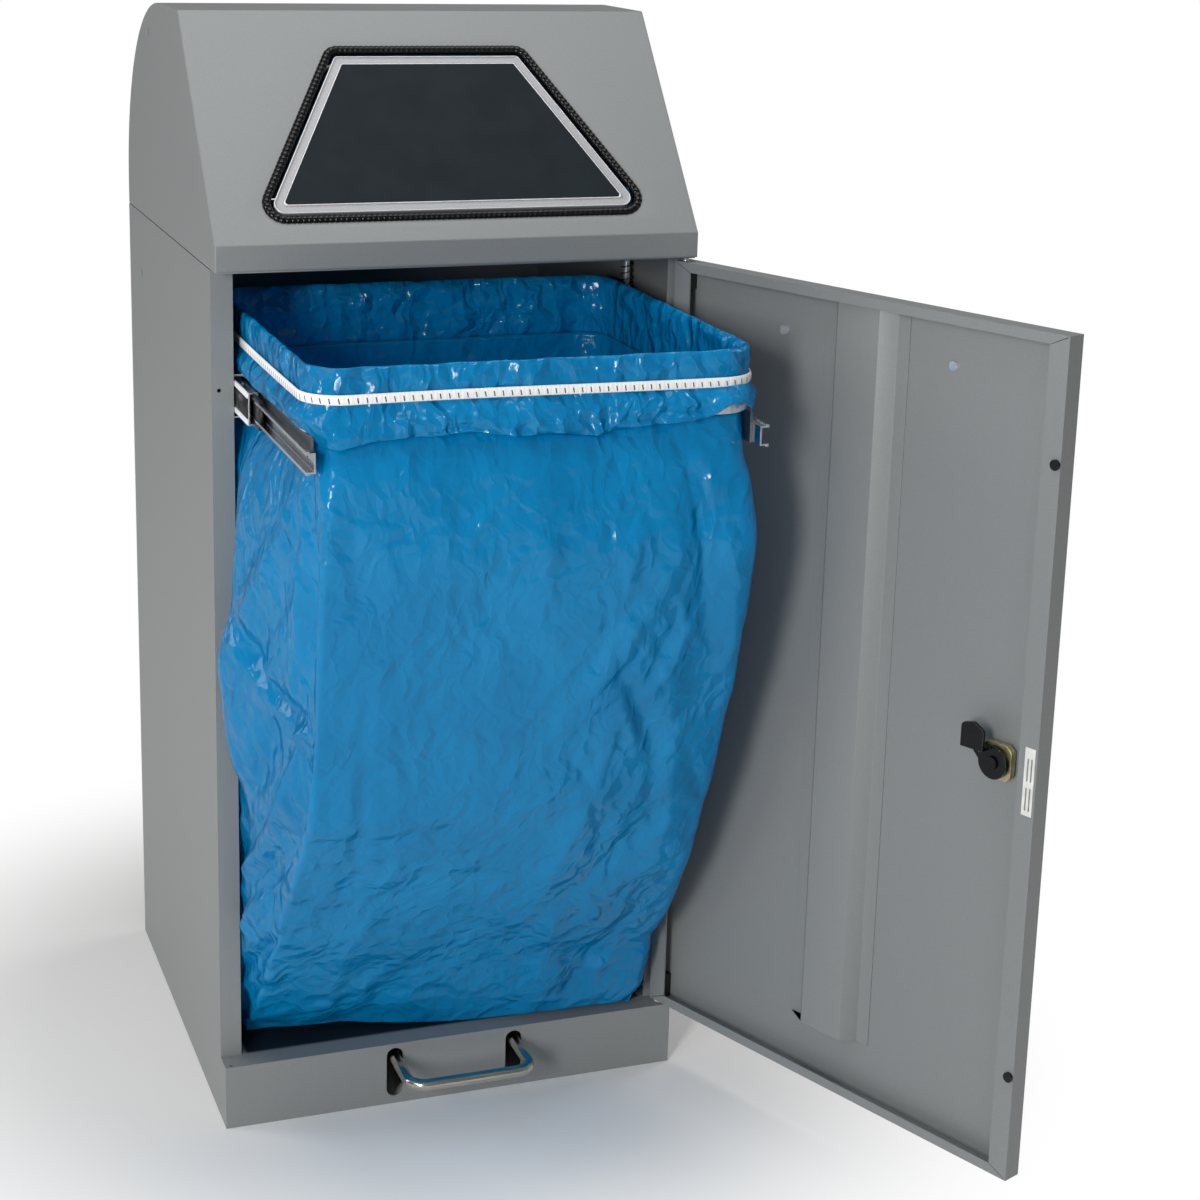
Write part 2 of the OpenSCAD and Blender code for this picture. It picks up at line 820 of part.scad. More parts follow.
bag_stack = [
  for (v = bag_levels) bag_ring(v, 0),
  film_ring(bag_in, ring_low - 3),
  film_ring(bag_in, ring_high + film_gap),
  film_ring(-film_gap, ring_high + film_gap),
  film_ring(-film_gap, collar_z),
  film_ring(-film_gap - film_t, collar_z),
  film_ring(-film_gap - film_t, ring_high + film_gap + film_t),
  film_ring(bag_in + film_t, ring_high + film_gap + film_t),
  film_ring(bag_in + film_t, ring_low - 3),
  for (i = [len(bag_levels) - 1 : -1 : 0]) bag_ring(bag_levels[i], film_t)
];
bag_n = len(bag_stack[0]);
bag_pts = [for (ring = bag_stack) each ring];
bag_faces = [
  [for (j = [bag_n - 1 : -1 : 0]) j],
  [for (j = [0 : bag_n - 1]) (len(bag_stack) - 1) * bag_n + j],
  for (i = [0 : len(bag_stack) - 2])
    for (j = [0 : bag_n - 1])
      let (a = i * bag_n + j, b = i * bag_n + (j + 1) % bag_n)
      each [[a, b, a + bag_n], [b, b + bag_n, a + bag_n]]
];

module bag()
  color("dodgerblue")
    polyhedron(bag_pts, [for (f = bag_faces) [for (k = [len(f) - 1 : -1 : 0]) f[k]]]);

module elastic_band()
  color("white")
    ring_band(-film_gap - film_t - rest_gap - 1.5, -film_gap - film_t - rest_gap,
              ring_high - elastic_drop - elastic_h, ring_high - elastic_drop);

// Pedal: round bar bent to a U, its legs notched to the hubs
module pedal_tube()
  color("silver")
    difference() {
      union() {
        rod_along_x(-pedal_half + pedal_bend, pedal_half - pedal_bend, pedal_y, pedal_z, pedal_r);
        both_sides() {
          rod_along_y(pedal_y + pedal_bend, shaft_y, pedal_half, pedal_z, pedal_r);
          translate([pedal_half - pedal_bend, pedal_y + pedal_bend, pedal_z])
            rotate([0, 0, -90])
              rotate_extrude(angle = 90)
                translate([pedal_bend, 0])
                  circle(r = pedal_r);
        }
      }
      rod_along_x(-pedal_half - hub_w, pedal_half + hub_w, shaft_y, pedal_z, hub_r);
    }

module pedal_hubs()
  color("dimgray")
    both_sides()
      difference() {
        rod_along_x(pedal_half - hub_w / 2, pedal_half + hub_w / 2, shaft_y, pedal_z, hub_r);
        rod_along_x(pedal_half - hub_w, pedal_half + hub_w, shaft_y, pedal_z, shaft_r);
      }

module pedal_shaft()
  color("lightgray")
    rod_along_x(-pedal_half - hub_w / 2 - 14, lever_x + lever_t + 2, shaft_y, pedal_z, shaft_r);

// A flat lever in Y and Z with an eye at each end
module lever(x0, y, z, a, len, r0, r1, b0, b1)
  translate([0, y, z])
    rotate([a, 0, 0])
      yz(x0, lever_t)
        difference() {
          union() {
            circle(r = r0);
            translate([len, 0])
              circle(r = r1);
            polygon([[0, -r0 * 0.8], [len, -r1 * 0.85], [len, r1 * 0.85], [0, r0 * 0.8]]);
          }
          circle(r = b0);
          translate([len, 0])
            circle(r = b1);
        }

module pedal_arm()
  color("slategray")
    lever(lever_x, shaft_y, pedal_z, -pedal_press, arm_len, hub_r, 5.5, shaft_r, crank_pin_r);

module arm_pin()
  color("silver") {
    rod_along_x(lever_x, rod_x + 3.5, arm_y, arm_z, crank_pin_r);
    rod_along_x(rod_x + 3.2, rod_x + 4.4, arm_y, arm_z, crank_pin_r + 1.5);
  }

module arm_shoe()
  color("whitesmoke")
    difference() {
      rod_along_x(rod_x - 3, rod_x + 3, arm_y, arm_z, shoe_r);
      rod_along_x(rod_x - 4, rod_x + 4, arm_y, arm_z, crank_pin_r);
    }

// Push rod: round rod with a flat head whose slot takes the crank pin
module push_rod()
  color("silver")
    difference() {
      union() {
        translate([rod_x, rod_y, foot_z + 1.5])
          cylinder(r = rod_r, h = pin_z - 6 - foot_z - 1.5);
        box([rod_x - head_t / 2, rod_y - 9, pin_z - 7], [rod_x + head_t / 2, rod_y + 9, pin_z + 7]);
      }
      for (s = [-1, 1])
        rod_along_x(rod_x - head_t, rod_x + head_t, rod_y + s * (rod_y - pin_y + 0.3), pin_z,
                    crank_pin_r + 0.35);
      box([rod_x - head_t, pin_y - 0.3, pin_z - crank_pin_r - 0.35],
          [rod_x + head_t, 2 * rod_y - pin_y + 0.3, pin_z + crank_pin_r + 0.35]);
    }

module rod_foot()
  color("black")
    difference() {
      translate([rod_x, rod_y, foot_z])
        cylinder(r = 6, h = foot_h);
      translate([rod_x, rod_y, foot_z + 1.5])
        cylinder(r = rod_r, h = foot_h);
    }

module rod_collar()
  color("dimgray")
    translate([rod_x, rod_y, spring_low - 5])
      difference() {
        cylinder(r = 5.5, h = 5 - rest_gap);
        translate([0, 0, -1])
          cylinder(r = rod_r, h = 7);
      }

// Flap: steel plate with a folded rim, carried by two lugs on the axle
flap_in = trim_w + flap_gap;
flap_n = -1;

module flap_plate()
  color("lightgray")
    on_slope()
      union() {
        trap_plate(flap_in, flap_n - sheet_t, flap_n);
        difference() {
          trap_frame(flap_in, flap_in + sheet_t, flap_n - sheet_t - flap_rim, flap_n - sheet_t + eps);
          box([-hx, axle_s - 20, -40], [hx, trim_high, flap_n - sheet_t]);
        }
      }

module flap_panel()
  color("darkslategray")
    on_slope()
      translate([0, 0, flap_n])
        linear_extrude(0.8)
          polygon(rounded(trap(flap_in + flap_border), [2.5, 2.5, 0, 0]));

module flap_lugs()
  color("dimgray")
    on_slope()
      for (x = [-lug_x - lug_t, lug_x])
        difference() {
          union() {
            rod_along_x(x, x + lug_t, axle_s, -axle_in, axle_r + 3.5);
            box([x, axle_s - 15, -axle_in], [x + lug_t, trim_high - flap_in - 4, flap_n - sheet_t]);
          }
          rod_along_x(x - 1, x + lug_t + 1, axle_s, -axle_in, axle_r);
        }

module flap_axle()
  color("silver")
    rod_along_x(-bearing_x - bearing_t - 2, lever_x + lever_t, axle_y, axle_z, axle_r);

module flap_crank()
  color("slategray")
    lever(lever_x, axle_y, axle_z, -crank_a, crank_len, axle_r + 4, 5.5, axle_r, crank_pin_r);

module crank_pin()
  color("silver")
    rod_along_x(lever_x, rod_x + head_t / 2 + 1.5, pin_y, pin_z, crank_pin_r);

// Door: folded pan with mitred lips, drawn closed
module door_shell()
  color("dimgray")
    swung()
      difference() {
        union() {
          box([-door_x, door_y, door_low], [door_x, door_y + sheet_t, door_high]);
          both_sides()
            box([door_x - sheet_t, door_y, door_low], [door_x, door_in, door_high]);
          for (z = [door_low, door_high - sheet_t])
            box([-door_x, door_y, z], [door_x, door_in - sheet_t, z + sheet_t]);
          xz(door_in - sheet_t, sheet_t)
            lips();
        }
        rod_along_y(door_y - 1, door_y + 2 * sheet_t, lock_x, lock_z, bush_r + 4.5);
        for (s = [-1, 1])
          rod_along_y(door_y - 1, door_y + 2 * sheet_t, s * skin_x, door_high - skin_drop, rivet_r);
        for (z = [buffer_high, buffer_low])
          rod_along_y(door_in - 3 * sheet_t, door_in + 1, -door_x + 4, z, 1.2);
        translate([pivot.x, pivot.y, door_low - 1])
          cylinder(r = pin_r, h = door_high - door_low + 2);
      }

module lips() {
  a = door_x;
  b = door_x - lip_side;
  g = mitre_gap;
  for (s = [-1, 1]) {
    polygon([[s * a, door_low + g], [s * b, door_low + lip_end + g],
             [s * b, door_high - lip_end - g], [s * a, door_high - g]]);
  }
  polygon([[-a, door_high], [a, door_high], [b, door_high - lip_end], [-b, door_high - lip_end]]);
  polygon([[-a, door_low], [a, door_low], [b, door_low + lip_end], [-b, door_low + lip_end]]);
}

// Stiffener: hat section welded inside the door's skin
module door_stiffener()
  color("gray")
    swung()
      translate([0, door_y + sheet_t, stiff_low])
        linear_extrude(door_high - sheet_t - 0.5 - stiff_low)
          hat_section(stiff_half, stiff_rise, stiff_run, stiff_flange, 1);

module hat_section(w, h, run, fl, t) {
  k = run * t / norm([run, h]);
  polygon([
    [-w - run - fl, 0], [-w - run - fl, t], [-w - run, t], [-w, h], [w, h], [w + run, t],
    [w + run + fl, t], [w + run + fl, 0], [w + run - k, 0], [w - k, h - t], [-w + k, h - t],
    [-w - run + k, 0]
  ]);
}

module door_pins()
  color("silver")
    swung()
      translate([pivot.x, pivot.y, 0]) {
        translate([0, 0, door_high - 20])
          cylinder(r = pin_r, h = 20 + door_gap + 5.5);
        translate([0, 0, shelf_z - 4])
          cylinder(r = pin_r, h = 4 + sheet_t + door_gap + 20);
      }

module pin_blocks()
  color("dimgray")
    swung()
      for (z = [door_low + sheet_t, door_high - sheet_t - 22])
        difference() {
          box([pivot.x - 7, door_y + sheet_t, z], [door_x - sheet_t, door_in - sheet_t, z + 22]);
          translate([pivot.x, pivot.y, z - 1])
            cylinder(r = pin_r, h = 24);
        }

// Lock: brass housing through the skin, with a round face outside
module lock_body()
  color("goldenrod")
    swung()
      difference() {
        union() {
          rod_along_y(door_y - 1.2, door_y, lock_x, lock_z, 11);
          rod_along_y(door_y - 1, door_y + 11, lock_x, lock_z, bush_r + 4.5);
          intersection() {
            box([lock_x - 14, door_y + sheet_t + 3, lock_z - 14.5],
                [lock_x + 14, door_y + 10, lock_z + 14.5]);
            rod_along_y(door_y, door_y + 12, lock_x, lock_z, 17);
          }
        }
        rod_along_y(door_y - 2, door_y + 12, lock_x, lock_z, 6 + run_fit);
      }

module lock_nut()
  color("silver")
    swung()
      difference() {
        translate([lock_x, door_y + sheet_t + 3, lock_z])
          rotate([90, 0, 0])
            cylinder(r = 12.5, h = 3, $fn = 6);
        rod_along_y(door_y, door_y + 12, lock_x, lock_z, bush_r + 4.5);
      }

module lock_plug()
  color("gold")
    swung()
      difference() {
        union() {
          rod_along_y(door_y - 1.5, door_y + 11.3, lock_x, lock_z, 6);
          box([lock_x - 3.5, door_y + 11, lock_z - 3.5], [lock_x + 3.5, door_y + 15, lock_z + 3.5]);
        }
        box([lock_x - 0.6, door_y - 3, lock_z - 4], [lock_x + 0.6, door_y + 7, lock_z + 4]);
        rod_along_y(door_y + 11, door_y + 16, lock_x, lock_z, 1.6);
      }

// Cam: black plate with a round boss and a tongue cranked inwards
module lock_cam()
  color("black")
    swung()
      translate([lock_x, 0, lock_z])
        difference() {
          union() {
            rod_along_y(door_y + 11.3, door_y + 15, 0, 0, cam_r);
            xz(door_y + 11.3, 3)
              polygon([[-13, 0], [13, -1], [24, 10], [24, 12], [3, 12], [2, 10]]);
            xz(door_y + 11.3, tongue_y - door_y - 11.3 + 2.5)
              polygon([[3, 9.5], [24, 9], [24, 12], [3, 12.5]]);
            xz(tongue_y, 2.5)
              polygon(rounded([[24, 9], [24, cam_reach - 3], [13, cam_reach], [3, cam_reach - 5],
                               [3, 9.5]], [0, 4, 4, 4, 0], 4));
          }
          box([-3.5, door_y + 10, -3.5], [3.5, door_y + 16, 3.5]);
        }

module cam_screw()
  color("silver")
    swung() {
      rod_along_y(door_y + 12, door_y + 15.2, lock_x, lock_z, 1.6);
      rod_along_y(door_y + 15, door_y + 17, lock_x, lock_z, 5.2);
    }

// Strike strip: white slotted plastic on the free edge's lip
module strike_strip()
  color("white")
    swung()
      difference() {
        box([-door_x + 1.8, door_in, lock_z - 31], [-door_x + 11, door_in + 0.8, lock_z + 22.5]);
        for (x = [3.9, 7.3])
          for (z = [-27, -4])
            box([-door_x + x, door_in - 1, lock_z + z], [-door_x + x + 1.3, door_in + 2, lock_z + z + 18]);
      }

module buffers()
  color("black")
    swung()
      for (z = [buffer_high, buffer_low]) {
        rod_along_y(door_in, door_in + 2.2, -door_x + 4, z, buffer_r);
        rod_along_y(door_in - 2.5, door_in + eps, -door_x + 4, z, 1.2);
      }

module skin_screws()
  color("silver")
    swung()
      for (s = [-1, 1]) {
        rod_along_y(door_y, door_y + sheet_t + 1, s * skin_x, door_high - skin_drop, rivet_r);
        rod_along_y(door_y + sheet_t, door_y + sheet_t + 2, s * skin_x, door_high - skin_drop, 3.8);
      }

plinth();
body_shell();
hood_wrap();
hood_cheek_left();
hood_cheek_right();
edge_trim();
axle_bearings();
rod_guides();
hinge_bushes();
hinge_washer();
shaft_bearings();
slide_brackets();
slide_cab_left();
slide_cab_right();
joint_screws();
joint_nuts();
side_rivets();
rod_spring();
slide_mid_left();
slide_mid_right();
cages_outer();
cages_inner();
slide_inner_left();
slide_inner_right();
frame_ring();
frame_bracket_left();
frame_bracket_right();
frame_rivets();
bag();
elastic_band();
pedal_tube();
pedal_hubs();
pedal_shaft();
pedal_arm();
arm_pin();
arm_shoe();
push_rod();
rod_foot();
rod_collar();
flap_plate();
flap_panel();
flap_lugs();
flap_axle();
flap_crank();
crank_pin();
door_shell();
door_stiffener();
door_pins();
pin_blocks();
lock_body();
lock_nut();
strike_strip();
buffers();
skin_screws();
lock_cam();
lock_plug();
cam_screw();
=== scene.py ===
import json
import bmesh
import bpy
import numpy as np
from mathutils import Matrix, Vector


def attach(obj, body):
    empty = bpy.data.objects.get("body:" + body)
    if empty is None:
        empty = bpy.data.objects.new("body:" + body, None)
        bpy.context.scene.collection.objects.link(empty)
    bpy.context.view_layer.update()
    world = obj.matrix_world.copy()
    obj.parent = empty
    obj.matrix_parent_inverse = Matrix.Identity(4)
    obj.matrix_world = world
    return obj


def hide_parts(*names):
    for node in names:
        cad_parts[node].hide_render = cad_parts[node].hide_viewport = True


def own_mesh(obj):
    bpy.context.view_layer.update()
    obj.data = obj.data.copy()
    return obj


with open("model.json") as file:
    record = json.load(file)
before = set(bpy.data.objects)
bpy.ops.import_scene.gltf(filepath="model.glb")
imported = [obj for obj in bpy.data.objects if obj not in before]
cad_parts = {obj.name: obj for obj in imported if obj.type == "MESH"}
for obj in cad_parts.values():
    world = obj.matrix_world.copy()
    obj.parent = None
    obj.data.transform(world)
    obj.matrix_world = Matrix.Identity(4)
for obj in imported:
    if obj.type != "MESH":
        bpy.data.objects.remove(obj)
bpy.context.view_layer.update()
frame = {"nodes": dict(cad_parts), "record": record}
parts = frame["nodes"]
body_of = {n: b for b, ns in frame["record"]["behaviour"]["bodies"].items() for n in ns}


# Camera: a long lens high on the front left, fitted to the cabinet's corners. The photograph was cut from the
# upper left of what its lens saw. A small part of that shift is kept, so that other views still hold the bin.
aim = Vector((0.24998, -0.34309, -0.01893))
axes = Matrix.Rotation(aim.length, 3, aim.normalized()) @ Matrix(((1, 0, 0), (0, 0, -1), (0, 1, 0)))
photo_px, focal_px, centre_x, centre_y = 1200, 2352.3, 570, 465
lens = bpy.data.cameras.new("camera")
lens.sensor_width = 36
lens.lens = focal_px / photo_px * lens.sensor_width
lens.shift_x = (photo_px / 2 - centre_x) / photo_px
lens.shift_y = (centre_y - photo_px / 2) / photo_px
lens.clip_start, lens.clip_end = 0.1, 60
camera = bpy.data.objects.new("camera", lens)
camera.matrix_world = Matrix.Translation((-0.5482, -1.9674, 1.0350)) @ Matrix(
    (axes[0], -axes[1], -axes[2])).transposed().to_4x4()
bpy.context.scene.collection.objects.link(camera)
bpy.context.scene.camera = camera
bpy.context.scene.view_settings.view_transform = "Standard"


# Room: a pale floor under white softboxes. To the camera the floor turns white away from the bin, and so meets
# the white background. Near the bin it stays a plain lit floor, with the bin's shadow on it.
def linear(hex_colour):
    """sRGB hex to linear light: each channel c becomes ((c + 0.055) / 1.055) to the power 2.4."""
    c = np.array([int(hex_colour[i:i + 2], 16) for i in (1, 3, 5)]) / 255
    return (*np.where(c > 0.04045, ((c + 0.055) / 1.055) ** 2.4, c / 12.92), 1.0)


def add(tree, kind, **sets):
    """Adds a node. A name that is one of its properties sets it. i0, i1 and so on, or a socket's name, feed an
    input with a value or from another socket."""
    made = tree.nodes.new("ShaderNode" + kind)
    for key, value in sets.items():
        if hasattr(made, key):
            setattr(made, key, value)
            continue
        socket = made.inputs[int(key[1:]) if key[0] == "i" and key[1:].isdigit() else key.replace("_", " ")]
        if isinstance(value, bpy.types.NodeSocket):
            tree.links.new(value, socket)
        else:
            socket.default_value = value
    return made


floor_mesh = bpy.data.meshes.new("floor")
floor_mesh.from_pydata([(-8, -8, 0), (8, -8, 0), (8, 8, 0), (-8, 8, 0)], [], [(0, 1, 2, 3)])
floor = bpy.data.objects.new("floor", floor_mesh)
bpy.context.scene.collection.objects.link(floor)
pale = bpy.data.materials.new("pale_floor")
pale.use_nodes = True
tree = pale.node_tree
tree.nodes["Principled BSDF"].inputs["Base Color"].default_value = linear("#F6F6F5")
tree.nodes["Principled BSDF"].inputs["Roughness"].default_value = 0.9
seen = add(tree, "LightPath")
# Plain out to 0.31 m from the bin's middle, and all white from 0.64 m.
spot = add(tree, "Mapping", Vector=add(tree, "TexCoord").outputs["Object"], Scale=(3.6, 3.6, 0.0))
reach = add(tree, "VectorMath", operation="LENGTH", i0=spot.outputs[0])
clear = add(tree, "MapRange", interpolation_type="SMOOTHSTEP", Value=reach.outputs["Value"],
            From_Min=1.1, From_Max=2.3)
share = add(tree, "Math", operation="MULTIPLY", i0=seen.outputs["Is Camera Ray"], i1=clear.outputs[0])
lit = add(tree, "MixShader", i0=share.outputs[0], i1=tree.nodes["Principled BSDF"].outputs[0],
          i2=add(tree, "Emission", Color=(1, 1, 1, 1), Strength=1.0).outputs[0])
tree.links.new(lit.outputs[0], tree.nodes["Material Output"].inputs[0])
floor_mesh.materials.append(pale)

world = bpy.data.worlds.new("studio")
world.use_nodes = True
bpy.context.scene.world = world
tree = world.node_tree
seen = add(tree, "LightPath")
shown = add(tree, "Math", operation="MAXIMUM", i0=seen.outputs["Is Camera Ray"],
            i1=seen.outputs["Is Transmission Ray"])
in_mirrors, fill = 0.22, 0.2
glossy = add(tree, "Math", operation="MULTIPLY", i0=seen.outputs["Is Glossy Ray"], i1=in_mirrors)
strength = add(tree, "Math", operation="MAXIMUM", i0=shown.outputs[0],
               i1=add(tree, "Math", operation="MAXIMUM", i0=glossy.outputs[0], i1=fill).outputs[0])
tree.links.new(strength.outputs[0], tree.nodes["Background"].inputs["Strength"])
tree.nodes["Background"].inputs["Color"].default_value = (1, 1, 1, 1)


def softbox(name, place, target, width, height, watts):
    """A white rectangle of light at place, turned to face target."""
    lamp = bpy.data.lights.new(name, "AREA")
    lamp.shape, lamp.size, lamp.size_y, lamp.energy = "RECTANGLE", width, height, watts
    held = bpy.data.objects.new(name, lamp)
    held.matrix_world = Matrix.Translation(place) @ (
        Vector(target) - Vector(place)).to_track_quat("-Z", "Y").to_matrix().to_4x4()
    bpy.context.scene.collection.objects.link(held)


softbox("box_over", (0.1, -0.5, 3.0), (0, 0, 0.7), 2.0, 1.4, 31)
softbox("box_key", (-2.4, -1.7, 1.9), (0, -0.2, 0.5), 0.7, 0.7, 7)
softbox("box_front", (-1.9, -2.6, 1.2), (0, -0.2, 0.5), 0.5, 1.1, 52)
softbox("box_rear", (-2.9, 1.2, 1.5), (0, 0, 0.5), 1.2, 1.8, 24)
softbox("box_right", (2.7, 0.9, 1.5), (0, 0, 0.5), 1.2, 1.8, 15)


# Cabinet paint: zinc-plated sheet steel, electrostatically powder coated and baked. The powder flows out to
# a satin skin with a fine orange peel. The grey holds mica, so it goes a touch paler where it faces the light.
def material(name, hex_colour, roughness, metallic=0.0):
    """A Principled material and its node tree, with these plain values on the shader."""
    made = bpy.data.materials.new(name)
    made.use_nodes = True
    shader = made.node_tree.nodes["Principled BSDF"]
    shader.inputs["Base Color"].default_value = linear(hex_colour)
    shader.inputs["Roughness"].default_value = roughness
    shader.inputs["Metallic"].default_value = metallic
    return made, made.node_tree, shader


def feel(tree, shader, height, strength, depth_mm):
    """Puts a height pattern on the shader as a bump of that depth."""
    bump = add(tree, "Bump", Strength=strength, Distance=depth_mm / 1000, Height=height)
    tree.links.new(bump.outputs[0], shader.inputs["Normal"])


def blotch(tree, shader, tones, grain_mm, low=0.35, high=0.65, stretch=(1, 1, 1)):
    """Colour that wanders between two tones in clouds of that size. Returns the cloud's value."""
    place = add(tree, "Mapping", Vector=add(tree, "TexCoord").outputs["Object"], Scale=stretch)
    cloud = add(tree, "TexNoise", Vector=place.outputs[0], Scale=1000 / grain_mm, Detail=4.0)
    ramp = add(tree, "ValToRGB", Fac=cloud.outputs[0])
    ramp.color_ramp.elements[0].position, ramp.color_ramp.elements[1].position = low, high
    ramp.color_ramp.elements[0].color, ramp.color_ramp.elements[1].color = map(linear, tones)
    tree.links.new(ramp.outputs[0], shader.inputs["Base Color"])
    return cloud.outputs[0]


def rough(tree, shader, value, low, high):
    """Roughness that follows a pattern between low and high."""
    spread = add(tree, "MapRange", Value=value, To_Min=low, To_Max=high)
    tree.links.new(spread.outputs[0], shader.inputs["Roughness"])


def powder_coat(name, dark, light):
    """Satin powder coat: the peel, 2 mm across, is a bump, and the 0.9 mm grains are a faint mottle."""
    made, tree, shader = material(name, light, 0.45, 0.1)
    grain = blotch(tree, shader, (dark, light), 0.9, 0.2, 0.8)
    rough(tree, shader, grain, 0.38, 0.55)
    peel = add(tree, "TexNoise", Vector=add(tree, "TexCoord").outputs["Object"], Scale=480.0, Detail=1.0)
    feel(tree, shader, peel.outputs[0], 0.12, 0.12)
    return made


coat = powder_coat("powder_coat_grey", "#7F8282", "#8C8F8F")


def keep(node, made):
    """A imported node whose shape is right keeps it, and only gets its finish."""
    parts[node].data.materials.clear()
    parts[node].data.materials.append(made)


def stand_for(obj, made, slot, *nodes, body=None):
    """Gives a piece its finish, and sets it on the body of the nodes that it stands for. slot is not used."""
    obj.data.materials.clear()
    obj.data.materials.append(made)
    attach(obj, body or body_of[nodes[0]])
    if nodes:
        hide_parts(*nodes)
    return obj


def softened(node, made, slot, radius, segments=2, edge_highlight=None):
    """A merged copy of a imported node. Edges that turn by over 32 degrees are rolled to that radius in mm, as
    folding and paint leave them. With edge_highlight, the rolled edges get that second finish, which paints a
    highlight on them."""
    sharp = np.radians(32)
    mesh = parts[node].data.copy()
    obj = bpy.data.objects.new(node + "_made", mesh)
    bpy.context.scene.collection.objects.link(obj)
    work = bmesh.new()
    work.from_mesh(mesh)
    bmesh.ops.remove_doubles(work, verts=work.verts, dist=2e-6)
    bmesh.ops.dissolve_limit(work, angle_limit=np.radians(0.6), verts=work.verts, edges=work.edges)
    work.to_mesh(mesh)
    work.free()
    mesh.shade_smooth()
    mesh.set_sharp_from_angle(angle=sharp)
    if radius:
        edge = obj.modifiers.new("edges", "BEVEL")
        edge.width, edge.segments, edge.limit_method = radius / 1000, segments, "ANGLE"
        edge.angle_limit, edge.harden_normals = sharp, True
        edge.use_clamp_overlap = True
    stand_for(obj, made, slot, node)
    if edge_highlight:
        obj.data.materials.append(edge_highlight)
        edge.material = 1
    return obj


# Plinth and body: a folded box with two pedal slots, and one sheet wrapped round both sides and the rear.
# Both are press-brake folded, spot welded at the corners and coated after that, so every edge is soft.
# Inside the plinth and on the shelf in front of the bag, shade is painted into the coat as near black.
shaded_coat = coat.copy()
shaded_coat.name = "powder_coat_painted_shade"
tree = shaded_coat.node_tree
shader = tree.nodes["Principled BSDF"]
inner_face, shelf = 0.1984, 0.055
# Inside the plinth, below the shelf and within its walls: painted shade.
here = add(tree, "SeparateXYZ", Vector=add(tree, "TexCoord").outputs["Object"])
side = add(tree, "Math", operation="ABSOLUTE", i0=here.outputs[0])
under = add(tree, "Math", operation="LESS_THAN", i0=here.outputs[2], i1=shelf - 0.0003)
in_x = add(tree, "Math", operation="LESS_THAN", i0=side.outputs[0], i1=inner_face)
deep = add(tree, "Math", operation="ABSOLUTE", i0=here.outputs[1])
in_y = add(tree, "Math", operation="LESS_THAN", i0=deep.outputs[0], i1=inner_face)
cavity = add(tree, "Math", operation="MULTIPLY", i0=under.outputs[0],
             i1=add(tree, "Math", operation="MULTIPLY", i0=in_x.outputs[0], i1=in_y.outputs[0]).outputs[0])
# On the shelf in front of the bag, fading in over a few mm at its edges: painted shade.
shelf_shade_x = add(tree, "MapRange", Value=side.outputs[0], From_Min=0.1795, From_Max=0.1765)
shelf_shade_y = add(tree, "MapRange", Value=here.outputs[1], From_Min=-0.181, From_Max=-0.177)
above = add(tree, "Math", operation="GREATER_THAN", i0=here.outputs[2], i1=shelf + 0.0002)
shelf_shade = add(tree, "Math", operation="MULTIPLY", i0=above.outputs[0],
          i1=add(tree, "Math", operation="MULTIPLY", i0=shelf_shade_x.outputs[0], i1=shelf_shade_y.outputs[0]).outputs[0])
share = add(tree, "Math", operation="MAXIMUM", i0=cavity.outputs[0], i1=shelf_shade.outputs[0])
painted = shader.inputs["Base Color"].links[0].from_socket
# Where either mask holds, the coat's colour turns near black (#121314): painted shade.
shade = add(tree, "MixRGB", Fac=share.outputs[0], Color1=painted, Color2=linear("#121314"))
tree.links.new(shade.outputs[0], shader.inputs["Base Color"])
softened("plinth", shaded_coat, "cabinet_grey", 1.1, 3)
softened("body_shell", coat, "cabinet_grey", 0.7, 2)
softened("side_rivets", coat, "cabinet_grey", 0.3)


# Hood: one sheet folded over band, slope and top and rolled down the rear, welded to two flat cheeks and
# ground flush, so its outer skin has no seam. The flap's opening is cut out of the slope.
def mesh_of(name, patches, uvs=None, weld=2e-6):
    """One mesh from grids of points in mm. Each four neighbours of a grid are a face. Points closer than weld,
    in metres, become one, and all faces are turned outward."""
    points, faces, spots, start = [], [], [], 0
    for k, patch in enumerate(patches):
        rows, cols = patch.shape[:2]
        i, j = np.meshgrid(np.arange(rows - 1), np.arange(cols - 1), indexing="ij")
        first = start + i * cols + j
        faces.append(np.stack([first, first + 1, first + cols + 1, first + cols], -1).reshape(-1, 4))
        points.append(patch.reshape(-1, 3) / 1000)
        if uvs:
            spots.append(uvs[k].reshape(-1, 2))
        start += rows * cols
    mesh = bpy.data.meshes.new(name)
    faces = np.concatenate(faces)
    mesh.from_pydata(np.concatenate(points).tolist(), [], faces.tolist())
    if uvs:
        layer = mesh.uv_layers.new(name="UVMap")
        layer.data.foreach_set("uv", np.concatenate(spots)[faces.ravel()].astype(np.float32).ravel())
    work = bmesh.new()
    work.from_mesh(mesh)
    bmesh.ops.remove_doubles(work, verts=work.verts, dist=weld)
    bmesh.ops.dissolve_degenerate(work, edges=work.edges, dist=1e-7)
    bmesh.ops.recalc_face_normals(work, faces=work.faces)
    work.to_mesh(mesh)
    work.free()
    mesh.shade_smooth()
    obj = bpy.data.objects.new(name, mesh)
    bpy.context.scene.collection.objects.link(obj)
    return obj


def unit(way):
    """Each vector divided by its length."""
    return way / np.linalg.norm(way, axis=-1, keepdims=True)


def closed(grid):
    """The grid with its first column again at the end, so that it closes round."""
    return np.concatenate([grid, grid[:, :1]], 1)


def thicken(obj, thickness_mm, offset=-1):
    """Gives a skin its sheet thickness: inward from the drawn face, or half to each side with offset 0."""
    sheet = obj.modifiers.new("sheet", "SOLIDIFY")
    sheet.thickness, sheet.offset = thickness_mm / 1000, offset


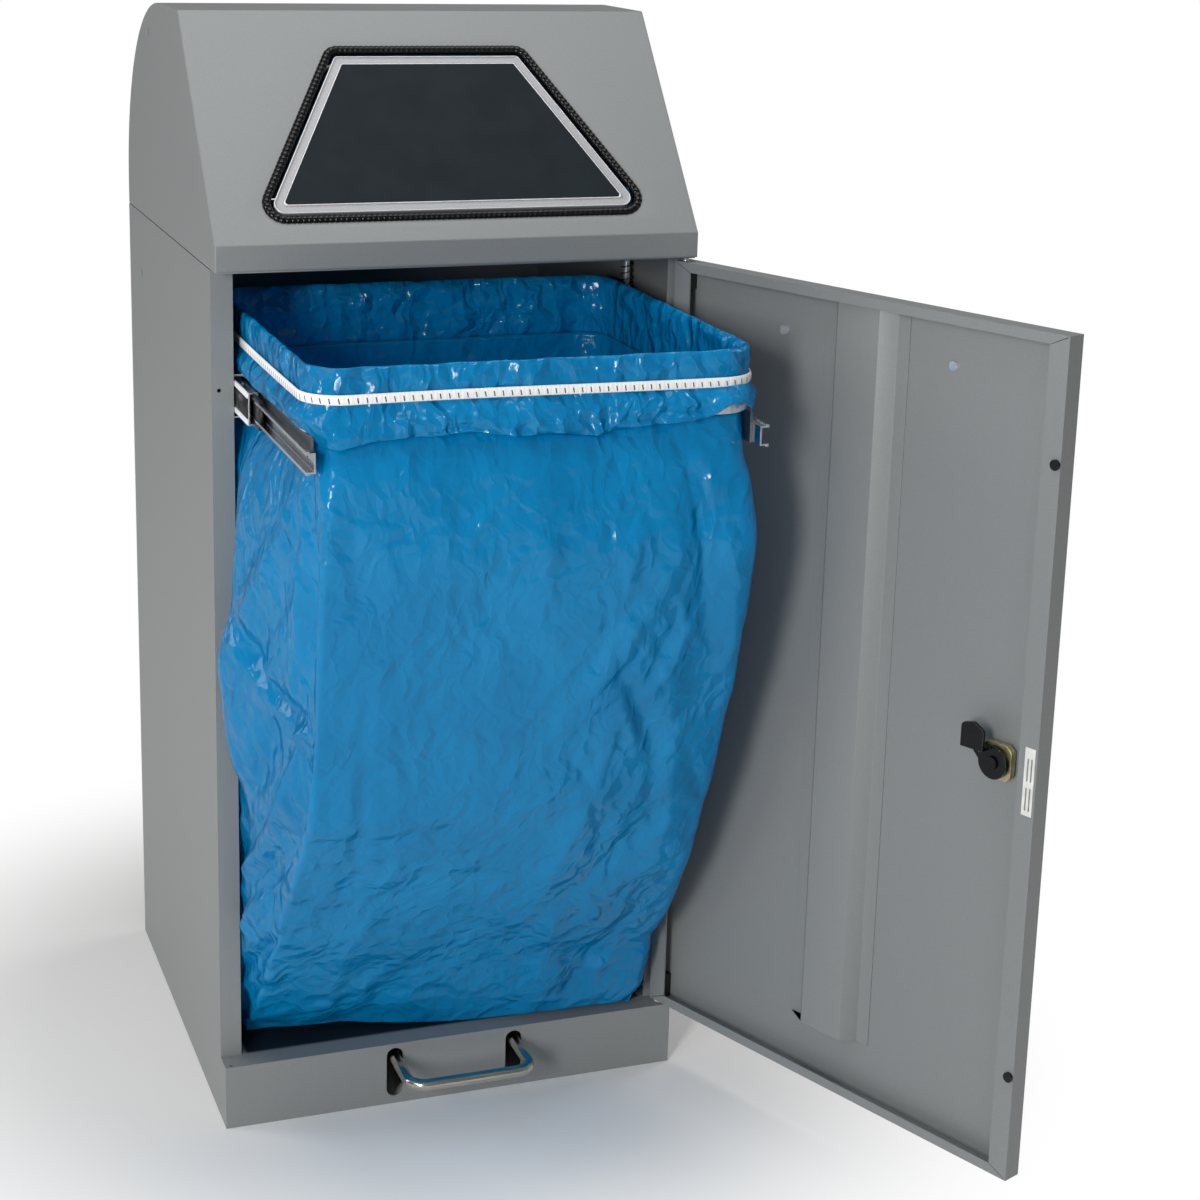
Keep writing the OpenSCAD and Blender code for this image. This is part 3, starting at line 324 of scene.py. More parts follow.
def corner_arcs(corners, radii, steps):
    """Each corner of a closed outline becomes an arc of its radius that touches both sides. With radius 0 it
    stays a point. corners is (count, levels, 2) and radii (count, levels). Returns one array for each corner,
    (steps, levels, 2) or with one step."""
    arcs = []
    for k, (here, r) in enumerate(zip(corners, radii)):
        if np.max(r) <= 0:
            arcs.append(here[None])
            continue
        one, two = unit(corners[k - 1] - here), unit(corners[(k + 1) % len(corners)] - here)
        half = np.arccos(np.clip((one * two).sum(-1), -1, 1)) / 2
        centre = here + unit(one + two) * (r / np.sin(half))[:, None]
        start = here + one * (r / np.tan(half))[:, None] - centre
        end = here + two * (r / np.tan(half))[:, None] - centre
        a = np.arctan2(start[:, 1], start[:, 0])
        swing = (np.arctan2(end[:, 1], end[:, 0]) - a + 3 * np.pi) % (2 * np.pi) - np.pi
        t = np.linspace(0, 1, steps)[:, None]
        turn = a + swing * t
        arcs.append(centre + r[:, None] * np.stack([np.cos(turn), np.sin(turn)], -1))
    return arcs


def outline(corners, radii, steps, runs):
    """A closed outline with rounded corners, each straight side cut into its number of runs. It comes as
    (points, levels, 2)."""
    arcs = corner_arcs(corners, radii, steps)
    rows = []
    for k, arc in enumerate(arcs):
        rows.append(arc)
        t = np.linspace(0, 1, runs[k] + 1)[1:-1, None, None]
        rows.append(arc[-1] + (arcs[(k + 1) % len(arcs)][0] - arc[-1]) * t)
    return np.concatenate(rows)


def block(low, high):
    """The six sides of a box, as grids."""
    (a, b, c), (d, e, f) = low, high
    ring = np.array([[(a, b), (d, b), (d, e), (a, e), (a, b)]], float)
    walls = np.concatenate([np.dstack([ring, np.full((1, 5), z)]) for z in (c, f)])
    lids = [np.array([[(a, b, z), (d, b, z)], [(a, e, z), (d, e, z)]], float) for z in (c, f)]
    return [walls, *lids]


# The hood's profile in mm: half its width and depth, and its two front folds, at FOLD_Z and at TOP_Y, TOP_Z.
HALF, FOLD_Z, TOP_Y, TOP_Z = 200, 748.5, -58.5, 918
SLOPE = np.arctan2(TOP_Z - FOLD_Z, TOP_Y + HALF)


def on_slope(x, up, out):
    """A point of the sloping front: x across, up from the fold along the slope, out from its face."""
    return np.stack(np.broadcast_arrays(x, -HALF + up * np.cos(SLOPE) - out * np.sin(SLOPE),
                                        FOLD_Z + up * np.sin(SLOPE) + out * np.cos(SLOPE)), -1)


# The flap's opening: half its width at the foot and at the head, and how far up the slope these lie. Each of
# its sides is cut into its number of runs.
WIDE, NARROW, FOOT, HEAD = 169.5, 83.8, 18.6, 185
LEAN = np.arctan2(WIDE - NARROW, HEAD - FOOT)
SIDE_RUNS = (40, 40, 24, 40)


def trapezoid(inset, steps=9):
    """The flap opening's outline moved in by inset: (across, up the slope), low left corner first."""
    low = WIDE - inset * (np.tan(LEAN) + 1 / np.cos(LEAN))
    high = NARROW + inset * (np.tan(LEAN) - 1 / np.cos(LEAN))
    corners = np.array([(-low, FOOT + inset), (low, FOOT + inset), (high, HEAD - inset), (-high, HEAD - inset)])
    low_r, high_r = max(18 - inset, 2.5), max(14 - inset, 1.5)
    r = np.array([low_r, low_r, high_r, high_r])
    return outline(corners[:, None], r[:, None], steps, SIDE_RUNS)[:, 0]


# Radii of the folds and of the side edges, height of the seam to the body, and where the rear starts to roll.
fold, edge_r, seam_z, roll_y = 2.2, 1.3, 728.0, 29
roll_r = HALF - roll_y
bend = corner_arcs(np.array([(-HALF, 700), (-HALF, FOLD_Z), (TOP_Y, TOP_Z), (roll_y, TOP_Z)], float)[:, None],
                   np.array([0, fold, fold, 0], float)[:, None], 7)
roll = np.linspace(np.pi / 2, 0, 40)
rolled = np.stack([roll_y + roll_r * np.cos(roll), TOP_Z - roll_r + roll_r * np.sin(roll)], -1)
upper = np.concatenate([bend[2][:, 0], np.linspace((-50, TOP_Z), (20, TOP_Z), 4), rolled, [(HALF, seam_z)]])
lower = np.concatenate([[(-HALF, seam_z)], np.linspace((-HALF, 730), (-HALF, 745), 3), bend[1][:, 0]])


def skin_strip(path, across=None, first=None, last=None):
    """Hood skin over one run of its outline: across between the side edges, each rolled to the edge radius.
    first and last are the outline's directions at its ends. Without across, only the two rolled edges."""
    way = np.gradient(path, axis=0)
    way[0], way[-1] = way[0] if first is None else first, way[-1] if last is None else last
    way = unit(way)
    out = np.stack([-way[:, 1], way[:, 0]], -1)
    t = np.linspace(0, np.pi / 2, 5)[None, :, None]
    rim = (path - out * edge_r)[:, None] + out[:, None] * edge_r * np.sin(t)
    x = np.broadcast_to(-HALF + edge_r - edge_r * np.cos(t[..., 0]), rim.shape[:2])
    left = np.dstack([x, rim])
    if across is None:
        return left, left * (-1, 1, 1)
    flat = np.dstack(np.broadcast_arrays(across[None, 1:-1], path[:, None, 0], path[:, None, 1]))
    return np.concatenate([left, flat, (left * (-1, 1, 1))[:, ::-1]], 1)


# The slope's face lies between the opening and the rim of the slope. Points go from one outline to the other,
# and the middle of each rounded corner of the opening goes to a corner of the rim.
hole_inset = 3.5
hole = trapezoid(hole_inset)
slope_end = np.hypot(TOP_Y + HALF, TOP_Z - FOLD_Z)
near, far = fold * np.tan((np.pi / 2 - SLOPE) / 2), slope_end - fold * np.tan(SLOPE / 2)
corner_at = [4, 52, 100, 132]
flat_x = HALF - edge_r
rim_corner = np.array([(-flat_x, near), (flat_x, near), (flat_x, far), (-flat_x, far)])
outer = np.zeros_like(hole)
for k in range(4):
    a, b = corner_at[k], corner_at[(k + 1) % 4] + (len(hole) if k == 3 else 0)
    run = np.arange(a, b + 1) % len(hole)
    t = np.linspace(0, 1, b - a + 1)[:, None]
    outer[run] = rim_corner[k] + (rim_corner[(k + 1) % 4] - rim_corner[k]) * t
middle, pull = np.array([0, 110]), 3 / 200
inward = outer * (1 - pull) + middle * pull
face = closed(np.stack([hole, hole + (inward - hole) * 0.5, inward, outer]))
slope_way = np.array([np.cos(SLOPE), np.sin(SLOPE)])
side_run = lower[-1] + (upper[0] - lower[-1]) * np.linspace(0, 1, 49)[:, None]
strips = [skin_strip(lower, np.linspace(-flat_x, flat_x, 49), last=slope_way),
          skin_strip(upper, np.linspace(-flat_x, flat_x, 33), first=slope_way)]
edges = skin_strip(side_run, first=slope_way, last=slope_way)
inner_rim = np.concatenate([strips[0][:, 0, 1:], edges[0][1:-1, 0, 1:], strips[1][:, 0, 1:]])
foot = np.stack([np.linspace(-198.5, 198.5, len(inner_rim)), np.full(len(inner_rim), seam_z)], -1)
cheek = foot[:, None] + (inner_rim - foot)[:, None] * np.linspace(0, 1, 6)[None, :, None]
cheek = np.dstack([np.full(cheek.shape[:2], -HALF), cheek])
hood = mesh_of("hood_skin", [*strips, *edges, cheek, cheek * (-1, 1, 1),
                             on_slope(face[..., 0], face[..., 1], 0 * face[..., 0])], weld=1e-5)
thicken(hood, 1.5)
hood.modifiers.new("flat_faces", "WEIGHTED_NORMAL").weight = 100
flanges = mesh_of("hood_flanges", [*block((-197.9, -199, 727.1), (197.9, -180.6, 728.6)),
                                   *block((185, -179, 727.1), (197.9, 198, 728.6)),
                                   *block((-197.9, -179, 727.1), (-185, 198, 728.6))])
stand_for(hood, coat, "cabinet_grey", "hood_wrap", "hood_cheek_left", "hood_cheek_right")
stand_for(flanges, coat, "cabinet_grey", body="cabinet")


# Edging: black rubber profile pushed over the cut edge, with a steel clip moulded in. The clip's segments
# show through as small ribs across the bead, which catch the light one by one.
def black_rubber(name):
    """Vulcanised rubber: nearly black, dull, with a fine bloom that lifts its gloss in spots."""
    made, tree, shader = material(name, "#060607", 0.3)
    shader.inputs["Specular IOR Level"].default_value = 0.35
    bloom = blotch(tree, shader, ("#040405", "#08080A"), 3.0)
    rough(tree, shader, bloom, 0.16, 0.3)
    return made


rubber = black_rubber("vulcanised_rubber")


def evenly(loop, count):
    """A closed outline resampled so that its points lie equally far apart."""
    whole = np.concatenate([loop, loop[:1]])
    run = np.concatenate([[0], np.cumsum(np.linalg.norm(np.diff(whole, axis=0), axis=1))])
    at = np.linspace(0, run[-1], count, endpoint=False)
    return np.stack([np.interp(at, run, whole[:, k]) for k in (0, 1)], -1)


def outward(loops):
    """The unit normals of closed outlines that run anticlockwise."""
    way = unit(np.roll(loops, -1, -2) - np.roll(loops, 1, -2))
    return np.stack([way[..., 1], -way[..., 0]], -1)


points, ribs = 1440, 188
spine = evenly(trapezoid(hole_inset, 14), points)
s = np.arange(points) / points * ribs
notch = np.exp(-((s % 1 - 0.5) / 0.16) ** 2)
t = np.linspace(-0.15 * np.pi, 1.15 * np.pi, 17)
bead_half, bead_high = 3.5, 3.1
across, high = bead_half * np.cos(t) * (1 - 0.1 * (t < 0)), bead_high * np.sin(t)
bead = spine[:, None] + outward(spine)[:, None] * (across * (1 - 0.1 * notch[:, None]))[..., None]
rise = np.maximum(high[None] * (1 - 0.24 * notch[:, None]), -1.4)
bead = closed(on_slope(bead[..., 0], bead[..., 1], rise))
trim = mesh_of("edge_trim_bead", [np.concatenate([bead, bead[:1]])])
stand_for(trim, rubber, "black_rubber", "edge_trim")


# Flap: steel plate with a folded rim, silver painted. A pressed frame with a rolled bead along both edges
# holds the dark panel, which is printed satin film on sheet and is left without any mark.
def silver(name):
    """Silver lacquer over steel: fine metal flake, satin."""
    made, tree, shader = material(name, "#A5A6A9", 0.5, 0.2)
    flake = blotch(tree, shader, ("#9C9DA0", "#ADAEB1"), 1.1)
    rough(tree, shader, flake, 0.42, 0.55)
    return made


def pressed(name, cut, thickness_mm, made):
    """A strip of the flap's frame. Its cut, as (inset, height over the slope) pairs, is run round the flap."""
    loops = [trapezoid(inset, 10) for inset, _ in cut]
    strip = np.stack([on_slope(p[:, 0], p[:, 1], height) for p, (_, height) in zip(loops, cut)])
    strip = mesh_of(name, [closed(strip)])
    thicken(strip, thickness_mm)
    stand_for(strip, made, "flap_silver", body="flap")


lacquer = silver("silver_lacquer")
pressed("flap_frame", ((9.55, -8.3), (9.55, -0.7), (9.7, -0.35), (10.1, -0.15), (10.7, -0.3), (11.1, -0.62),
                       (12.4, -0.72), (15.4, -0.72), (16.3, -0.62), (16.7, -0.3), (17.1, -0.08), (17.5, -0.25),
                       (17.7, -0.7), (17.7, -1.3)), 0.3, lacquer)
keep("flap_plate", lacquer)
# The crests of the rolled beads along both edges of the frame get a paler lacquer: painted highlight.
highlight_lacquer, tree, shader = material("lacquer_painted_highlight", "#DCDCDE", 0.3, 0.3)
blotch(tree, shader, ("#D2D2D5", "#E6E6E8"), 1.1)
pressed("flap_frame_rim", ((9.5, -0.6), (9.6, -0.25), (10.1, -0.05), (10.5, -0.1)), 0.2, highlight_lacquer)
pressed("flap_frame_sill", ((16.6, -0.25), (16.9, -0.02), (17.3, 0.0), (17.62, -0.2)), 0.2, highlight_lacquer)

dark, tree, shader = material("satin_print_film", "#192227", 0.5)
shader.inputs["Specular IOR Level"].default_value = 0.1
cloud = blotch(tree, shader, ("#171F24", "#1D262B"), 30.0)
rough(tree, shader, cloud, 0.46, 0.56)
grain = add(tree, "TexNoise", Vector=add(tree, "TexCoord").outputs["Object"], Scale=1400.0, Detail=0.0)
feel(tree, shader, grain.outputs[0], 0.05, 0.05)
keep("flap_panel", dark)


# Door: a pan folded from one sheet, its four lips mitred and left open at the corners, with a hat section
# spot welded inside. It has the cabinet's coat.
softened("door_shell", coat, "cabinet_grey", 1.0, 3)
softened("door_stiffener", coat, "cabinet_grey", 0.9, 2)


# Zinc-plated steel: slides, brackets, ring, levers and small hardware. The passivated zinc is bright and
# slightly blue, with a fine rolled grain along the strip.
def zinc(name, dark, light, low, high, stretch=(1, 0.06, 1), metal=1.0):
    """Bright zinc: drawn grain 0.8 mm wide, stretched along the strip."""
    made, tree, shader = material(name, light, 0.3, metal)
    grain = blotch(tree, shader, (dark, light), 0.8, 0.3, 0.7, stretch)
    rough(tree, shader, grain, low, high)
    return made


bright_zinc = zinc("bright_zinc", "#D6DADF", "#F4F6F8", 0.16, 0.3, metal=0.7)
strip_zinc = zinc("cold_rolled_zinc", "#B4BAC2", "#D8DDE2", 0.12, 0.24)
# Near white, less metallic zinc for rolled edges and thin lips: painted highlight where they catch the light.
edge_highlight_zinc = zinc("zinc_edge_painted_highlight", "#E6E9EC", "#FAFAFA", 0.25, 0.4, metal=0.35)
# A darker, duller zinc for brackets, levers, spring and flap axle that sit in shadow inside the cabinet:
# painted shade.
shade_dark_zinc = zinc("zinc_painted_shade", "#6E7071", "#8A8C8D", 0.35, 0.5, (1, 1, 1))
for side in ("left", "right"):
    for name in ("slide_inner_", "slide_mid_", "slide_cab_"):
        softened(name + side, strip_zinc, "zinc_steel", 0.3, 1, edge_highlight=edge_highlight_zinc)
    softened("frame_bracket_" + side, shade_dark_zinc, "zinc_steel", 0.25, 1)
for name in ("slide_brackets", "pedal_arm", "flap_axle", "flap_crank"):
    keep(name, shade_dark_zinc)
for name in ("axle_bearings", "joint_screws", "joint_nuts", "frame_ring", "frame_rivets", "pedal_hubs",
             "pedal_shaft", "arm_pin", "push_rod", "rod_collar", "flap_lugs", "crank_pin", "skin_screws",
             "lock_nut"):
    keep(name, bright_zinc)
spring = softened("rod_spring", shade_dark_zinc, "zinc_steel", 0.1, 1)
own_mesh(spring)
softened("door_pins", bright_zinc, "zinc_steel", 0.4)


# Moulded plastics: black acetal cages, bearings and blocks, and pale acetal bushes, guides and shoe.
def moulded(name, dark, light, low, high):
    """Injection moulded acetal: spark-eroded grain of 0.6 mm, satin."""
    made, tree, shader = material(name, light, 0.4)
    cloud = blotch(tree, shader, (dark, light), 12.0)
    rough(tree, shader, cloud, low, high)
    grain = add(tree, "TexNoise", Vector=add(tree, "TexCoord").outputs["Object"], Scale=1600.0, Detail=0.0)
    feel(tree, shader, grain.outputs[0], 0.1, 0.06)
    return made


black_acetal = moulded("black_acetal", "#121214", "#1C1C20", 0.3, 0.42)
pale_acetal = moulded("natural_acetal", "#DAD9D3", "#EAE9E4", 0.36, 0.46)
lips, stops, bridges = [], [], []
web_x = 180.7
for way in (-1, 1):
    for low, high in ((613.6, 617.4), (634.6, 638.4)):
        lips += block(*np.sort([(way * web_x, -226.6, low), (way * (web_x + 1), 120, high)], 0))
    stops += block(*np.sort([(way * web_x, -224, 618.2), (way * (web_x + 0.5), -120, 633.8)], 0))
    bridges += block(*np.sort([(way * 174.2, -250, 619.9), (way * 176.9, -223, 632.1)], 0))
# The middle slides' thin lips get the same painted highlight.
stand_for(mesh_of("slide_mid_lips", lips), edge_highlight_zinc, "zinc_steel", body="middle_slides")
stand_for(mesh_of("slide_mid_stops", stops), black_acetal, "black_plastic", body="middle_slides")
stand_for(mesh_of("cage_bridges", bridges), black_acetal, "black_plastic", body="inner_cages")
for name in ("cages_outer", "cages_inner", "rod_foot", "shaft_bearings", "pin_blocks"):
    keep(name, black_acetal)
for name in ("rod_guides", "hinge_bushes", "hinge_washer", "arm_shoe"):
    keep(name, pale_acetal)
softened("strike_strip", pale_acetal, "light_plastic", 0.25)
keep("buffers", rubber)


# Lock: brass housing with cut corners, held through the skin by a nut. The cam is black zinc alloy, cast with a
# round boss and a cranked tongue, and its rolled edges are painted near white as a highlight.
brass, tree, shader = material("raw_brass", "#B8AE84", 0.34, 0.8)
cloud = blotch(tree, shader, ("#A39A70", "#C4BB94"), 5.0)
rough(tree, shader, cloud, 0.28, 0.45)
softened("lock_body", brass, "brass", 0.5)
softened("lock_plug", brass, "brass", 0.3)
cast, tree, shader = material("black_cast_alloy", "#050509", 0.3, 0.0)
shader.inputs["Specular IOR Level"].default_value = 0.25
cloud = blotch(tree, shader, ("#050508", "#0B0B10"), 8.0)
rough(tree, shader, cloud, 0.22, 0.36)
softened("lock_cam", cast, "black_plastic", 0.7, 2, edge_highlight=edge_highlight_zinc)
keep("cam_screw", cast)


# Pedal: round bar of stainless steel bent to a U, ground and polished along its length, so it mirrors the
# room in soft streaks.
polished, tree, shader = material("polished_stainless", "#B9B4A8", 0.2, 1.0)
streak = blotch(tree, shader, ("#A8A397", "#CFCBC0"), 1.2, 0.3, 0.7, (0.05, 1, 1))
rough(tree, shader, streak, 0.14, 0.28)
softened("pedal_tube", polished, "polished_steel", 0)


# Waste bag: a blown tube of blue polythene film about 1400 mm round, hung through the ring and turned down
# over it. It is drawn as two lengths of the same tube, which meet at the ring's lower edge.
def creased(a, b, creases):
    """Sum of local creases. Each is a ridge with a sharp top through (a0, b0), turned by its angle. Its height
    falls evenly to nothing over its width to each side, and along it by e to the power minus the square of
    (distance along / length). It wanders a little to the side on its way."""
    total = 0 * a
    for a0, b0, angle, length, width, height in creases:
        c, d = np.cos(np.radians(angle)), np.sin(np.radians(angle))
        along, side = (a - a0) * c + (b - b0) * d, np.abs((b - b0) * c - (a - a0) * d)
        side = side + 0.05 * np.abs(along) * np.sin(along / length * 2)
        total = total + height * np.clip(1 - side / width, 0, 1) * np.exp(-(along / length) ** 2)
    return total


def scattered(count, seed, a_span, b_span, angles, lengths, widths, heights):
    """A repeatable list of creases spread over a field, with both raised and sunk ones."""
    dice = np.random.default_rng(seed)
    sign = dice.choice((-1, 1), count)
    return np.stack([dice.uniform(*a_span, count), dice.uniform(*b_span, count), dice.uniform(*angles, count),
                     dice.uniform(*lengths, count), dice.uniform(*widths, count),
                     sign * dice.uniform(*heights, count)], 1)


# Runs on each of the outline's nine sides, height where both lengths of film meet, and the ring in mm: half
# its width, its front, its rear and the radius of its corners.
RUNS = (78, 44, 26, 12, 26, 10, 12, 22, 26)
HEM_Z = 641
RING_X, RING_FRONT, RING_REAR, RING_R = 167.7, -388.7, -61.3, 24.0
z = np.concatenate([np.linspace(HEM_Z, 600, 14), np.linspace(597, 96, 132), np.linspace(93, 58.2, 12)])


def by_height(*pairs):
    """A size that changes with height: (height, size) pairs, lowest first, joined and eased below the ring."""
    at, value = np.array(pairs, float).T
    joined = np.interp(z, at, value)
    kernel = np.exp(-np.linspace(-1.6, 1.6, 7) ** 2)
    eased = np.convolve(np.pad(joined, 3, mode="edge"), kernel / kernel.sum(), "valid")
    hold = np.clip((HEM_Z - z) / 12, 0, 1)
    return joined * (1 - hold) + eased * hold


# The outline's nine corners at each height: front left, a fold in the front, front right, the right side, rear
# right, rear left, and three on the left: where it passes the opening, swells out before it, and dips in again.
fl_x = by_height((58, -171), (66, -172), (146, -170), (240, -168), (330, -165.5), (600, -165), (625, -166),
                 (HEM_Z, -RING_X))
fl_y = by_height((58, -146), (66, -150), (100, -185), (138, -216), (190, -258), (240, -292), (330, -358),
                 (398, -373), (452, -385), (555, -400), (615, -402), (HEM_Z, RING_FRONT))
fr_x = by_height((58, 172), (70, 176), (150, 177), (560, 177), (590, 174), (607, 168), (HEM_Z, RING_X))
fr_y = by_height((58, -197), (70, -204), (98, -214), (132, -222), (175, -258), (237, -297), (328, -338),
                 (400, -364), (482, -392), (541, -405), (600, -400), (625, -394), (HEM_Z, RING_FRONT))
side_x = by_height((58, 166), (80, 174), (150, 176), (350, 176), (560, 170), (607, 167.8), (HEM_Z, RING_X))
rear_y = by_height((58, -44), (90, -34), (200, -32), (400, -42), (560, -58), (610, -61), (HEM_Z, RING_REAR))
out_x = by_height((58, -168), (80, -178), (221, -181), (262, -176), (300, -188), (316, -193), (346, -201),
                  (374, -206), (421, -204.5), (500, -195), (557, -190), (592, -178), (607, -168.3),
                  (HEM_Z, -RING_X))
out_y = np.maximum(-226, fl_y + 36)
pass_x = by_height((58, -166), (80, -176), (140, -180.5), (570, -180.5), (592, -174), (607, -168),
                   (HEM_Z, -RING_X))
pass_y = np.maximum(-184, out_y + 26)
dip_x = by_height((58, -170), (100, -172), (225, -172), (262, -167), (330, -172), (390, -176), (425, -182),
                  (500, -178), (590, -171), (607, -167.9), (HEM_Z, -RING_X))
dip_y = fl_y * 0.5 + out_y * 0.5
dip_y = dip_y + (-306 - dip_y) * np.clip((z - 600) / 41, 0, 1)
fold_x = by_height((58, 96), (150, 92), (205, 84), (240, 72), (300, 62), (381, 56), (452, 52), (531, 66),
                   (HEM_Z, 60))
share = (fold_x - fl_x) / (fr_x - fl_x)
fold_y = fl_y + (fr_y - fl_y) * share - 7.0 * np.clip((636 - z) / 90, 0, 1)
corners = np.stack([np.stack(p, -1) for p in (
    (fl_x, fl_y), (fold_x, fold_y), (fr_x, fr_y), (side_x, np.full_like(z, -190)), (side_x, rear_y),
    (-side_x, rear_y), (pass_x, pass_y), (out_x, out_y), (dip_x, dip_y))])
r = np.zeros(corners.shape[:2])
r[0] = by_height((58, 5), (560, 5), (600, 12), (HEM_Z, RING_R))
r[2] = by_height((58, 12), (560, 13), (600, 18), (HEM_Z, RING_R))
r[4] = r[5] = by_height((58, 36), (500, 34), (HEM_Z, RING_R))
film = outline(corners, r, 8, RUNS).transpose(1, 0, 2)
cols = film.shape[1]
kernel = np.exp(-(np.arange(-6, 7) / 3.0) ** 2)
kernel /= kernel.sum()
blurred = sum(k * np.roll(film, n, 1) for k, n in zip(kernel, range(-6, 7)))
away = np.minimum(np.arange(cols), cols - np.arange(cols))
soft = np.clip((away - 7) / 8, 0, 1)[None, :, None] * np.clip((HEM_Z - z) / 30, 0, 1)[:, None, None]
film = film + (blurred - film) * soft


def run_round(loops):
    """How far round its outline each point lies from the first, and its distance to the next one."""
    step = np.linalg.norm(np.roll(loops, -1, 1) - loops, axis=2)
    return np.cumsum(step, 1) - step, step


u, step = run_round(film)
v = np.repeat(z[:, None], cols, 1)
normal = outward(film)
belly = 5 * np.sin(np.clip(u / 350, 0, 1) * np.pi) * np.sin(np.clip((v - 60) / 560, 0, 1) * np.pi)
# Folds are placed by how far they are ahead of the front left corner, or behind it, and by their height.
half_round = 700
back = u[:, -1:] + step[:, -1:] - u
ahead = np.where(u < half_round, u, -back)
main_folds = [(238, 470, 62, 70, 16, 5), (262, 400, 118, 60, 15, -5), (300, 520, 100, 130, 22, -6),
              (225, 300, 80, 120, 18, 5), (265, 255, 55, 70, 18, -5), (300, 330, 100, 90, 20, 5),
              (240, 150, 100, 80, 18, 6), (290, 130, 70, 80, 16, -6), (60, 150, 78, 130, 20, 4),
              (110, 100, 62, 80, 18, -4), (45, 330, 93, 110, 12, -3), (170, 560, 95, 80, 14, 2.5),
              (-108, 500, 59.5, 120, 26, 9), (-18, 515, 90, 110, 17, -9), (-40, 530, 88, 70, 12, 4),
              (-104, 442, -29, 50, 15, -9), (-48, 420, -8, 32, 12, -8), (-70, 452, 70, 40, 16, 5),
              (-42, 338, 71, 64, 15, 12), (-17, 325, 80, 66, 14, -9), (-95, 345, 60, 60, 26, -9),
              (-24, 402, 20, 14, 8, 6), (-75, 250, 60, 50, 18, 6), (-45, 200, 66, 60, 14, 7),
              (-22, 160, 60, 60, 13, -6), (-80, 150, 80, 60, 16, -5), (-60, 100, 70, 50, 12, 5)]
minor = np.concatenate([
    scattered(70, 3, (10, 340), (80, 620), (20, 160), (14, 46), (5, 11), (0.5, 1.5)),
    scattered(44, 8, (-120, -6), (90, 590), (50, 130), (14, 50), (5, 11), (1.0, 2.6)),
    scattered(40, 14, (0, 340), (66, 150), (0, 180), (14, 40), (5, 12), (1.2, 2.6)),
    scattered(30, 21, (215, 340), (120, 600), (30, 150), (20, 60), (7, 14), (1.0, 2.6)),
    scattered(14, 27, (20, 340), (560, 636), (50, 130), (14, 40), (6, 12), (0.5, 1.3)),
    scattered(24, 35, (-150, -10), (80, 380), (40, 120), (16, 40), (7, 13), (2.0, 4.0))])
behind = scattered(90, 33, (350, 1150), (80, 632), (30, 150), (20, 80), (8, 18), (1.0, 3.4))
push = belly + creased(ahead, v, main_folds) + creased(ahead, v, minor) + creased(u, v, behind)
push = push * np.clip((HEM_Z - v) / 22, 0, 1)
film = film + normal * push[..., None]
# Between the slides it stays inside the ring, and below them inside the cabinet's walls.
by_slides, in_opening = v >= 604, film[..., 1] > -203
film[..., 0] = np.where(by_slides, np.clip(film[..., 0], -168, 168), film[..., 0])
film[..., 0] = np.where(in_opening, np.clip(film[..., 0], -181, 181), np.maximum(film[..., 0], -211))
film[..., 1] = np.minimum(film[..., 1], np.where(by_slides, -60.8, -26))
# At the front its bottom edge lies in low waves on the shelf.
lift = 2.6 * (1 + np.sin(u / 41 + 0.4)) * np.clip((345 - u) / 20, 0, 1) * np.exp(-(v - 58) / 16)
sheet = np.dstack([film, v + lift])
low = sheet[-1]
middle = low.mean(0)
bottom = [middle + (low - middle) * k + (0, 0, h)
          for k, h in ((0.97, -0.7), (0.86, -0.9), (0.5, -0.9), (0.0, -0.9))]
sheet = closed(np.concatenate([sheet, np.stack(bottom)]))


def polythene(name, depth):
    """Blown polythene film, 0.06 mm: glossy blue that lets light through. Handling leaves it in small flat
    facets, 35 and 14 mm across, drawn as the pyramids of a warped cell pattern with square distances."""
    made, tree, shader = material(name, "#0090C6", 0.2)
    here = add(tree, "TexCoord").outputs["Object"]
    cloud = blotch(tree, shader, ("#0089C0", "#0C97CE"), 70.0, 0.3, 0.7)
    rough(tree, shader, cloud, 0.09, 0.2)
    bent = add(tree, "TexNoise", Vector=here, Scale=16.0, Detail=3.0)
    warp = add(tree, "VectorMath", operation="MULTIPLY_ADD", i0=bent.outputs["Color"],
               i1=(0.05, 0.05, 0.05), i2=here)
    slant = add(tree, "Mapping", Vector=warp.outputs[0], Rotation=(0.5, 0.3, 0.8), Scale=(1.0, 1.0, 0.6))
    large = add(tree, "TexVoronoi", distance="CHEBYCHEV", Vector=slant.outputs[0], Scale=28.0)
    small = add(tree, "TexVoronoi", distance="MANHATTAN", Vector=slant.outputs[0], Scale=72.0)
    both = add(tree, "Math", operation="MULTIPLY_ADD", i0=small.outputs["Distance"], i1=0.34,
               i2=large.outputs["Distance"])
    feel(tree, shader, both.outputs[0], 1.0, depth)
    glow = add(tree, "BsdfTranslucent", Color=linear("#4CD0F0"))
    mixed = add(tree, "MixShader", i0=0.42, i1=shader.outputs[0], i2=glow.outputs[0])
    tree.links.new(mixed.outputs[0], tree.nodes["Material Output"].inputs[0])
    return made


blue_film = polythene("blown_polythene", 4.6)
bag_body = mesh_of("bag_body", [sheet])
thicken(bag_body, 0.3, 0)
stand_for(bag_body, blue_film, "bag_film", "bag")
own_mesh(bag_body)

